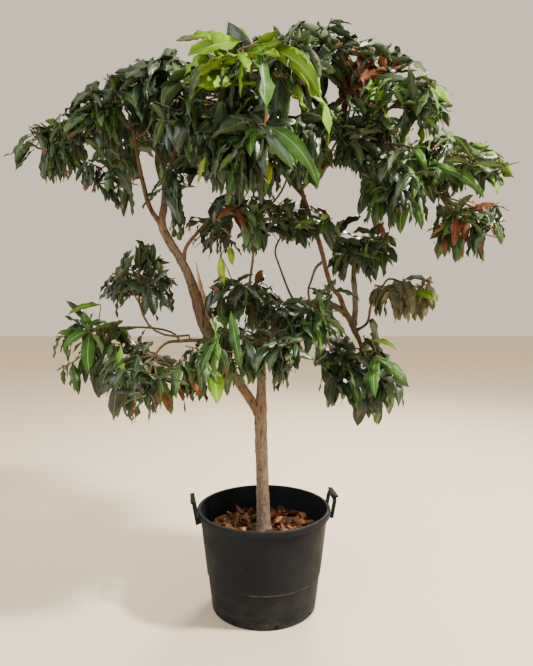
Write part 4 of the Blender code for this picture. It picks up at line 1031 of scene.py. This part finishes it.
# The crown's top edge and the gaps that sky shows through, as seen from the camera: x and z of places in
# metres on the upright plane through the trunk. A gap is an ellipse with its half width and half height.
CREST = [
    (-0.95, 1.66), (-0.94, 1.66), (-0.85, 1.77), (-0.79, 1.80), (-0.69, 1.83), (-0.66, 1.89),
    (-0.60, 1.95), (-0.53, 1.96), (-0.46, 2.00), (-0.39, 2.01), (-0.33, 2.04), (-0.30, 2.09),
    (-0.21, 2.10), (-0.17, 2.15), (-0.11, 2.15), (-0.07, 2.10), (-0.01, 2.11), (0.05, 2.13),
    (0.10, 2.12), (0.15, 2.15), (0.22, 2.16), (0.29, 2.13), (0.41, 2.08), (0.46, 2.07),
    (0.53, 2.03), (0.56, 1.95), (0.65, 1.94), (0.68, 1.88), (0.70, 1.78), (0.72, 1.72),
    (0.81, 1.72), (0.90, 1.61),
]
SKY = [
    (-0.68, 1.38, 0.17, 0.158),  # under the left wing
    (-0.85, 1.39, 0.15, 0.172),  # under the left tip
    (-0.42, 1.61, 0.033, 0.071),  # beside the left bough, from the top down
    (-0.37, 1.46, 0.041, 0.079),
    (-0.3, 1.31, 0.041, 0.087),
    (-0.24, 1.16, 0.034, 0.066),
    (0.28, 1.53, 0.079, 0.085),  # right of the crown's middle
    (0.21, 1.31, 0.032, 0.072),  # beside the right leader, from the top down
    (0.28, 1.12, 0.029, 0.066),
    (0.09, 1.29, 0.109, 0.058),  # among the thin stems
    (0.16, 0.78, 0.044, 0.157),  # between the low middle and the low right
    (0.54, 1.35, 0.042, 0.072),  # under the right wing
    (-0.62, 1.24, 0.05, 0.075),  # left of the low shoot
    (-0.28, 1.15, 0.026, 0.08),  # right of the low shoot
    (-0.26, 1.53, 0.051, 0.029),  # between the left and the middle masses
    (-0.01, 0.71, 0.186, 0.098),  # round the trunk
]
FLECK_SCALE = 14  # small flecks of sky all over the crown: about so many to a metre
FLECK_LEVEL = 0.36  # the higher, the rarer


def open_to_sky(point):
    """True if the camera sees the point over the crown's top edge or in one of its gaps."""
    far = EYE[1] / (EYE[1] - point.y)
    x, z = EYE[0] + (point.x - EYE[0]) * far, EYE[2] + (point.z - EYE[2]) * far
    for (x0, z0), (x1, z1) in zip(CREST, CREST[1:]):
        if x0 <= x < x1 and z > z0 + (z1 - z0) * (x - x0) / (x1 - x0):
            return True
    if noise.noise(Vector((x * FLECK_SCALE, 5, z * FLECK_SCALE))) > FLECK_LEVEL:
        return True
    return any(((x - mid) / wide) ** 2 + ((z - level) / tall) ** 2 < 1 for mid, level, wide, tall in SKY)


def in_crown(mass, points):
    """True if the points stay in the mass's space and the crown's box, and out of the open sky."""
    for point in points:
        if any(not cad_low[axis] < point[axis] < cad_high[axis] for axis in range(3)):
            return False
        if open_to_sky(point) or not mass.holds(point):
            return False
    return True


sprays = {}  # one bmesh for each colour in each part of the crown
twigs = bmesh.new()
twig_mesh = bpy.data.meshes.new("one_twig")
twig_points = []

# How a leaf is tried, one way after the other: its turn round the shoot, and its size
LEAF_TRIES = ((0, 1), (0.5, 1), (-0.5, 1), (1.0, 0.9), (-1.0, 0.9), (0, 0.75), (1.6, 0.7), (-1.6, 0.7))
LEAF_ROOM = 0.006  # kept between a leaf's middle and the limbs
SHOOT_ROOM = 0.005
LEAF_SIZES = (0.5, 1.05)  # of the mass's leaf length
YOUNG_ANGLE = 52  # in degrees, between a shoot and its youngest leaf, and its oldest
OLD_ANGLE = 92
OWN_TINT_CHANCE = 0.7  # that a leaf takes its spray's colour
TIP_LEAVES = 5  # round the leaf that reaches a mass's furthest point
TIP_SHOOT_RADIUS = 0.00198  # of the shoot under that leaf, at its end


def add_twig(path, radii, sides=TWIG_SIDES):
    bm, _ = tube(path, radii, sides)
    bm.to_mesh(twig_mesh)
    bm.free()
    twigs.from_mesh(twig_mesh)
    twig_points.extend(path[1:])


def add_leaf(mass, tint, root, axis, way, length, droop, draw):
    """Tries one leaf in several ways, each turned further round its shoot and then shorter."""
    for turn, size in LEAF_TRIES:
        turned_way = Matrix.Rotation(turn, 3, axis) @ way
        most = turned_way.angle(DOWN)
        points = leaf_line(root, turned_way, length * size, min(droop, most))
        if in_crown(mass, points) and clear_of_limbs(points, LEAF_ROOM):
            target = sprays.setdefault((tint, mass.part), bmesh.new())
            width = length * size * LEAF_WIDTH * draw.uniform(0.85, 1.3)
            roll = draw.uniform(-1.0, 1.0)
            leaf(target, root, turned_way, length * size, width, min(droop, most), roll, draw)
            return


def reach_tip(mass, tip, stem, draw):
    """A shoot that bears the leaf whose tip is the mass's furthest point, with a few leaves round it."""
    way = (tip - mass.hub).normalized()
    run = min(mass.length * 1.15, (tip - mass.hub).length * 0.7)
    base = tip - way * run
    start = stem[-1].lerp(stem[-3], 0.4)
    add_twig(shoot_line(start, base, 0.5, 0.01, 5), taper(SHOOT_RADIUS, TIP_SHOOT_RADIUS, 6))
    target = sprays.setdefault((mass.tints[0], mass.part), bmesh.new())
    leaf(target, base, way, run, run * LEAF_WIDTH, 0, 0, draw)
    for number in range(TIP_LEAVES):
        spin = Matrix.Rotation(number * GOLDEN_ANGLE * 2, 3, way)
        beside = way + spin @ way.orthogonal().normalized() * 0.9 + DOWN * mass.hang * 0.5
        root = base - way * 0.008 * number
        length = mass.length * draw.uniform(0.75, 1)
        add_leaf(mass, mass.tints[0], root, way, beside.normalized(), length, mass.hang * 1.2, draw)


def grow(mass):
    """Stem, shoots and whorls of one mass, by the rule above."""
    draw = random.Random(mass.name)
    stem, foot_radius = stem_path(mass)
    add_twig(stem, taper(foot_radius, STEM_TIP_RADIUS, len(stem)), STEM_SIDES)
    for tip in mass.tips:
        reach_tip(mass, Vector(tip), stem, draw)
    for number in range(mass.shoots):
        for attempt in range(SHOOT_TRIES):
            height = SHOOT_TOP - SHOOT_RANGE * (number + 0.5) / mass.shoots - RETRY_LOWER * attempt
            around = number * GOLDEN_ANGLE + draw.uniform(-0.3, 0.3) + RETRY_TURN * attempt
            level = math.sqrt(max(0.0, 1 - height * height))
            out = Vector((math.cos(around) * level, math.sin(around) * level, height))
            share = draw.uniform(*SHOOT_SHARES) * (1 - RETRY_NEARER * attempt)
            end = mass.centre + Vector([out[axis] * mass.reach[axis] * share for axis in range(3)])
            rise = ((end - mass.hub).normalized() + UP * SHOOT_RISE).normalized()
            whorl = end + rise * WHORL_LENGTH
            start = stem[-1].lerp(stem[-4], draw.uniform(0, 0.9))
            path = shoot_line(start, end, 0.55, 0.012, 6)
            if in_crown(mass, [end, whorl]) and clear_of_limbs([*path[1::2], whorl], SHOOT_ROOM):
                break
        else:
            continue
        path += [end.lerp(whorl, 0.5), whorl]
        add_twig(path, taper(SHOOT_RADIUS, SHOOT_TIP_RADIUS, len(path)))
        add_whorl(mass, end, whorl, draw.choice(mass.tints), draw)


def add_whorl(mass, end, whorl, tint, draw):
    """The leaves at a shoot's tip: the youngest stand up, the oldest hang."""
    axis = (whorl - end).normalized()
    beside = axis.orthogonal().normalized()
    spin = draw.uniform(0, math.tau)
    for number in range(mass.leaves):
        spin += GOLDEN_ANGLE + draw.uniform(-0.5, 0.5)
        age = number / max(mass.leaves - 1, 1)
        polar = math.radians(YOUNG_ANGLE + (OLD_ANGLE - YOUNG_ANGLE) * age) * draw.uniform(0.75, 1.2)
        way = axis * math.cos(polar) + (Matrix.Rotation(spin, 3, axis) @ beside) * math.sin(polar)
        way = (way + DOWN * mass.hang * draw.uniform(0.25, 1.5) * (0.4 + age)).normalized()
        size = mass.length * draw.uniform(*LEAF_SIZES)
        droop = draw.uniform(0.25, 1.0) * (0.7 + mass.hang * 0.7)
        own = tint if draw.random() < OWN_TINT_CHANCE else draw.choice(mass.tints)
        add_leaf(mass, own, whorl.lerp(end, 0.02 + 0.95 * age), axis, way, size, droop, draw)


for mass in masses:
    grow(mass)

# Leaves that stand out: the broad young ones at the front of the crown, some of them a hand and a half
# long, and the bright ones along its edges, their light yellow-green partly young colour and partly
# painted glow of sun shining through the blade. Each hangs by its own shoot from the nearest twig.

STAND_OUT = [  # tint, foot, way, length, width, droop, roll
    ("fresh", (-0.01, -0.6, 1.83), (0.14, -0.22, -0.96), 0.22, 0.06, 0.1, 0.1),
    ("bright", (-0.01, -0.57, 1.84), (0.94, -0.19, -0.29), 0.23, 0.056, 1.1, 1.1),
    ("bright", (0.05, -0.58, 1.82), (0.71, -0.12, -0.69), 0.3, 0.054, 0.8, 1.0),
    ("bright", (-0.05, -0.55, 1.86), (-0.97, -0.19, -0.16), 0.16, 0.062, 0.3, -1.2),
    ("dark", (-0.03, -0.55, 1.79), (-0.5, 0.07, 0.86), 0.14, 0.074, 0.1, -1.3),
    ("bright", (-0.1, -0.46, 1.9), (-0.97, -0.09, 0.21), 0.11, 0.034, 0.5, -0.8),
    ("olive", (-0.17, -0.44, 1.91), (-0.96, -0.26, -0.07), 0.08, 0.022, 0.3, -0.8),
    ("bright", (-0.04, -0.45, 1.9), (-0.53, 0, 0.85), 0.05, 0.026, 0.9, -0.8),
    ("fresh", (0.01, -0.54, 1.64), (0.78, -0.42, -0.46), 0.24, 0.046, 1.1, 1.0),
    ("mid", (0, -0.52, 1.64), (0.62, -0.43, -0.66), 0.16, 0.044, 0.6, 0.9),
    ("fresh", (-0.03, -0.5, 1.67), (-0.05, -0.42, -0.91), 0.12, 0.036, 0.2, 0.2),
    ("fresh", (-0.08, -0.44, 1.57), (-0.19, -0.29, -0.94), 0.14, 0.034, 0.2, 0.2),
    ("yellow", (-0.17, -0.4, 1.59), (-0.26, -0.32, -0.91), 0.09, 0.022, 0.3, -0.4),
    ("yellow", (0.01, -0.4, 1.58), (0.16, -0.36, -0.92), 0.08, 0.028, 0.3, 0.4),
    ("yellow", (-0.16, -0.4, 1.86), (-0.7, -0.66, 0.27), 0.03, 0.034, 0.3, -0.4),
    ("bright", (0.53, -0.02, 1.91), (0.96, -0.25, -0.1), 0.14, 0.038, 0.9, 0.9),
    ("bright", (0.5, -0.06, 1.89), (0.54, -0.77, -0.34), 0.1, 0.034, 0.9, 0.9),
    ("bright", (0.69, -0.16, 1.66), (0.96, -0.15, -0.26), 0.17, 0.036, 0.9, 0.9),
    ("bright", (0.68, -0.16, 1.67), (0.64, -0.77, -0.03), 0.09, 0.03, 0.8, 0.9),
    ("bright", (0.68, -0.17, 1.63), (0.72, -0.46, -0.52), 0.17, 0.036, 0.9, 0.9),
    ("fresh", (0.55, -0.2, 1.6), (0.9, -0.36, -0.24), 0.21, 0.04, 0.9, 0.9),
    ("fresh", (0.45, -0.22, 1.56), (0.4, -0.45, -0.8), 0.2, 0.042, 0.5, 0.5),
    ("fresh", (0.42, -0.22, 1.57), (-0.69, -0.31, -0.65), 0.19, 0.042, 0.7, -0.6),
    ("yellow", (-0.15, -0.12, 1.31), (0.1, -0.25, -0.96), 0.12, 0.03, 0.2, 0.2),
    ("yellow", (-0.12, -0.12, 1.34), (0.27, -0.36, -0.89), 0.07, 0.028, 0.2, 0.2),
    ("bright", (0.55, 0.06, 1.18), (0.91, -0.42, 0.01), 0.11, 0.036, 0.9, 0.8),
    ("bright", (-0.16, -0.26, 0.94), (0.08, -0.21, -0.97), 0.12, 0.06, 0.1, 0.1),
    ("bright", (-0.48, -0.2, 1.01), (0.03, -0.36, -0.93), 0.15, 0.032, 0.2, 0.3),
    ("bright", (-0.57, -0.1, 1.14), (-0.94, -0.35, 0.02), 0.12, 0.03, 0.8, -0.9),
    ("bright", (0.39, -0.05, 1.01), (0.91, -0.41, 0), 0.1, 0.024, 0.7, 0.8),
    ("fresh", (-0.11, -0.2, 1.12), (0.17, -0.46, -0.87), 0.21, 0.04, 0.2, 0.3),
    ("rust", (-0.33, -0.26, 0.86), (0.32, -0.18, -0.93), 0.07, 0.03, 0.2, 0.3),
    ("rust", (-0.25, -0.26, 0.93), (0.52, -0.23, -0.82), 0.1, 0.034, 0.2, 0.4),
    ("rust", (-0.43, -0.24, 0.82), (-0.05, -0.22, -0.97), 0.08, 0.022, 0.2, 0.3),
    ("rust", (0.42, 0.02, 1.44), (0.35, -0.36, -0.86), 0.07, 0.03, 0.3, 0.4),
    ("rust", (0.19, -0.06, 1.48), (0.74, -0.33, -0.59), 0.07, 0.03, 0.4, 0.6),
    ("rust", (0.71, -0.12, 1.46), (0.89, -0.21, 0.41), 0.09, 0.032, 0.5, 0.8),
    ("rust", (0.72, -0.12, 1.42), (0.24, -0.23, -0.94), 0.14, 0.034, 0.3, 0.3),
    ("rust", (0.7, -0.12, 1.44), (-0.2, -0.28, -0.94), 0.11, 0.03, 0.3, -0.3),
    ("rust", (0.57, -0.06, 1.84), (0.63, -0.21, -0.75), 0.12, 0.034, 0.4, 0.5),
    ("rust", (0.38, -0.1, 1.98), (0.56, -0.29, -0.78), 0.09, 0.032, 0.4, 0.5),
    ("fresh", (0.18, -0.12, 1.13), (0.18, -0.47, -0.86), 0.17, 0.04, 0.3, 0.3),
]
SIDES_FROM = 0.3  # how far from the trunk the left and right parts of the crown begin
STAND_OUT_SHOOT = [0.0022, 0.0021, 0.0019, 0.0017, 0.0014]
draw = random.Random("stand out")
for tint, foot, way, length, width, droop, roll in STAND_OUT:
    foot, way = Vector(foot), Vector(way).normalized()
    twig_end = min(twig_points, key=lambda point: (point - foot).length)
    add_twig(shoot_line(twig_end, foot, 0.6, 0.008, 4), STAND_OUT_SHOOT)
    part = "left" if foot.x < -SIDES_FROM else "right" if foot.x > SIDES_FROM else "middle"
    leaf(sprays.setdefault((tint, part), bmesh.new()), foot, way, length, width, droop, roll, draw)


def thicken(leaves, thickness, underside=0):
    """Gives flat blades their thickness, and their undersides the finishes that come so many later."""
    solid = leaves.modifiers.new("thickness", "SOLIDIFY")
    solid.thickness = thickness
    solid.offset = -1
    solid.material_offset = underside


tint_finishes = {tint: leaf_finishes(tint) for tint in LEAF_TINTS}
for (tint, part), bm in sprays.items():
    nodes = [mass.name for mass in CROWN[part]]
    leaves = add_piece(f"leaves_{tint}_{part}", bm, tint_finishes[tint], nodes, smooth=180)
    thicken(leaves, LEAF_THICKNESS, underside=len(tint_finishes[tint]) // 2)

# Fruits: three small green mangoes, 3 cm long, that hang from one place on thin stalks under the left of
# the crown.

FRUIT_HALF_SIZE = (0.0108, 0.0098, 0.0160)
FRUIT_TOPS = [(-0.322, -0.020, 1.410), (-0.303, -0.036, 1.398), (-0.296, -0.008, 1.415)]
FRUIT_STALK_FROM = (-0.318, -0.018, 1.470)
FRUIT_STALK_RADIUS = 0.0011
FRUIT_BEAK = 0.18  # how far the tip leans to one side, of half the fruit's length
FRUIT_SLIMNESS = 0.22  # how much narrower it is at its stalk
fruit_skin = new_finish("fruit_skin", (0.10, 0.16, 0.035), 0.4)
blush = blend(fruit_skin, patches(fruit_skin, 60, 0.35, 0.7), (0.17, 0.22, 0.05), (0.07, 0.12, 0.03))
dots = patches(fruit_skin, 700, 0.66, 0.74)
connect(fruit_skin, blend(fruit_skin, dots, (0.3, 0.32, 0.14), blush), "Base Color")
fruits = bmesh.new()
fruit_mesh = bpy.data.meshes.new("one_fruit")
for number, top in enumerate(FRUIT_TOPS):
    top = Vector(top)
    one = bmesh.new()
    bmesh.ops.create_uvsphere(one, u_segments=24, v_segments=16, radius=1)
    for vert in one.verts:
        low = (1 - vert.co.z) / 2
        full = 1 - FRUIT_SLIMNESS * (1 - low) ** 2
        lean = FRUIT_BEAK * FRUIT_HALF_SIZE[2] * low * low * (1 if number % 2 else -1)
        x, y = vert.co.x * full * FRUIT_HALF_SIZE[0] + lean, vert.co.y * full * FRUIT_HALF_SIZE[1]
        vert.co = top + Vector((x, y, (vert.co.z - 1) * FRUIT_HALF_SIZE[2]))
    one.to_mesh(fruit_mesh)
    one.free()
    fruits.from_mesh(fruit_mesh)
    line = shoot_line(Vector(FRUIT_STALK_FROM), top, 0.5, 0.012, 6)
    add_twig(line, [FRUIT_STALK_RADIUS] * len(line))
add_piece("small_fruits", fruits, [fruit_skin], ["foliage_left_inner"], smooth=180)

twig_bark = bark("twig_bark", (0.24, 0.17, 0.10), (0.15, 0.11, 0.055), (0.07, 0.045, 0.03),
                 (0.13, 0.15, 0.05))
add_piece("twigs", twigs, [twig_bark], [mass.name for mass in masses], smooth=180)

# Litter: dead leaves, curled and broken, that lie on the soil. They are rust brown, with tan ones at the
# front, and they pile up towards the wall.

LITTER_TINTS = {"rust": (0.150, 0.056, 0.020), "brown": (0.075, 0.032, 0.014), "tan": (0.33, 0.165, 0.070)}
LITTER_DEAL = ("rust",) * 5 + ("brown",) * 5 + ("tan",)
LITTER_COUNT = 300
LITTER_NEAR = 0.048  # the nearest and the furthest that a dead leaf's middle lies from the tub's axis
LITTER_FAR = 0.196
LITTER_LENGTHS = (0.020, 0.058)
LITTER_WALL = 0.215
LITTER_WALL_SHARE = 0.6  # a leaf's share of its length at the wall, and how fast it grows inwards
LITTER_GROWTH = 12
LITTER_WIDTHS = (0.45, 0.95)  # of a leaf's length
LITTER_DROOPS = (-0.7, 1.1)
LITTER_ROLLS = (-0.9, 0.9)
LITTER_RIB = 1.4  # how much lighter the midrib is than the blade
LITTER_THICKNESS = 0.0007
litter = {tint: bmesh.new() for tint in LITTER_TINTS}
draw = random.Random("litter")
for number in range(LITTER_COUNT):
    out = LITTER_NEAR + (LITTER_FAR - LITTER_NEAR) * math.sqrt(draw.random())
    around = draw.uniform(0, math.tau)
    middle = Vector((math.cos(around) * out, math.sin(around) * out, 0))
    length = draw.uniform(*LITTER_LENGTHS) * min(1, LITTER_WALL_SHARE + (LITTER_WALL - out) * LITTER_GROWTH)
    heading = draw.uniform(0, math.tau)
    rise = draw.uniform(-0.05, 0.55)
    way = Vector((math.cos(heading), math.sin(heading), rise)).normalized()
    root = middle - way * length / 2
    root.z = soil_height(middle.x, middle.y) + draw.uniform(0.001, 0.009)
    tint = "tan" if number % 9 == 0 and middle.y < 0 < middle.x else draw.choice(LITTER_DEAL)
    width = length * draw.uniform(*LITTER_WIDTHS)
    droop = draw.uniform(*LITTER_DROOPS)
    leaf(litter[tint], root, way, length, width, droop, draw.uniform(*LITTER_ROLLS), draw)
for tint, bm in litter.items():
    dead = leaf_finish("litter_" + tint, LITTER_TINTS[tint], 0.8, 0)
    rib_colour = tuple(part * LITTER_RIB for part in LITTER_TINTS[tint])
    rib = new_finish("litter_" + tint + "_rib", rib_colour, 0.8)
    pile = add_piece("leaf_litter_" + tint, bm, [dead, rib, dead], ["soil"], smooth=180)
    thicken(pile, LITTER_THICKNESS)
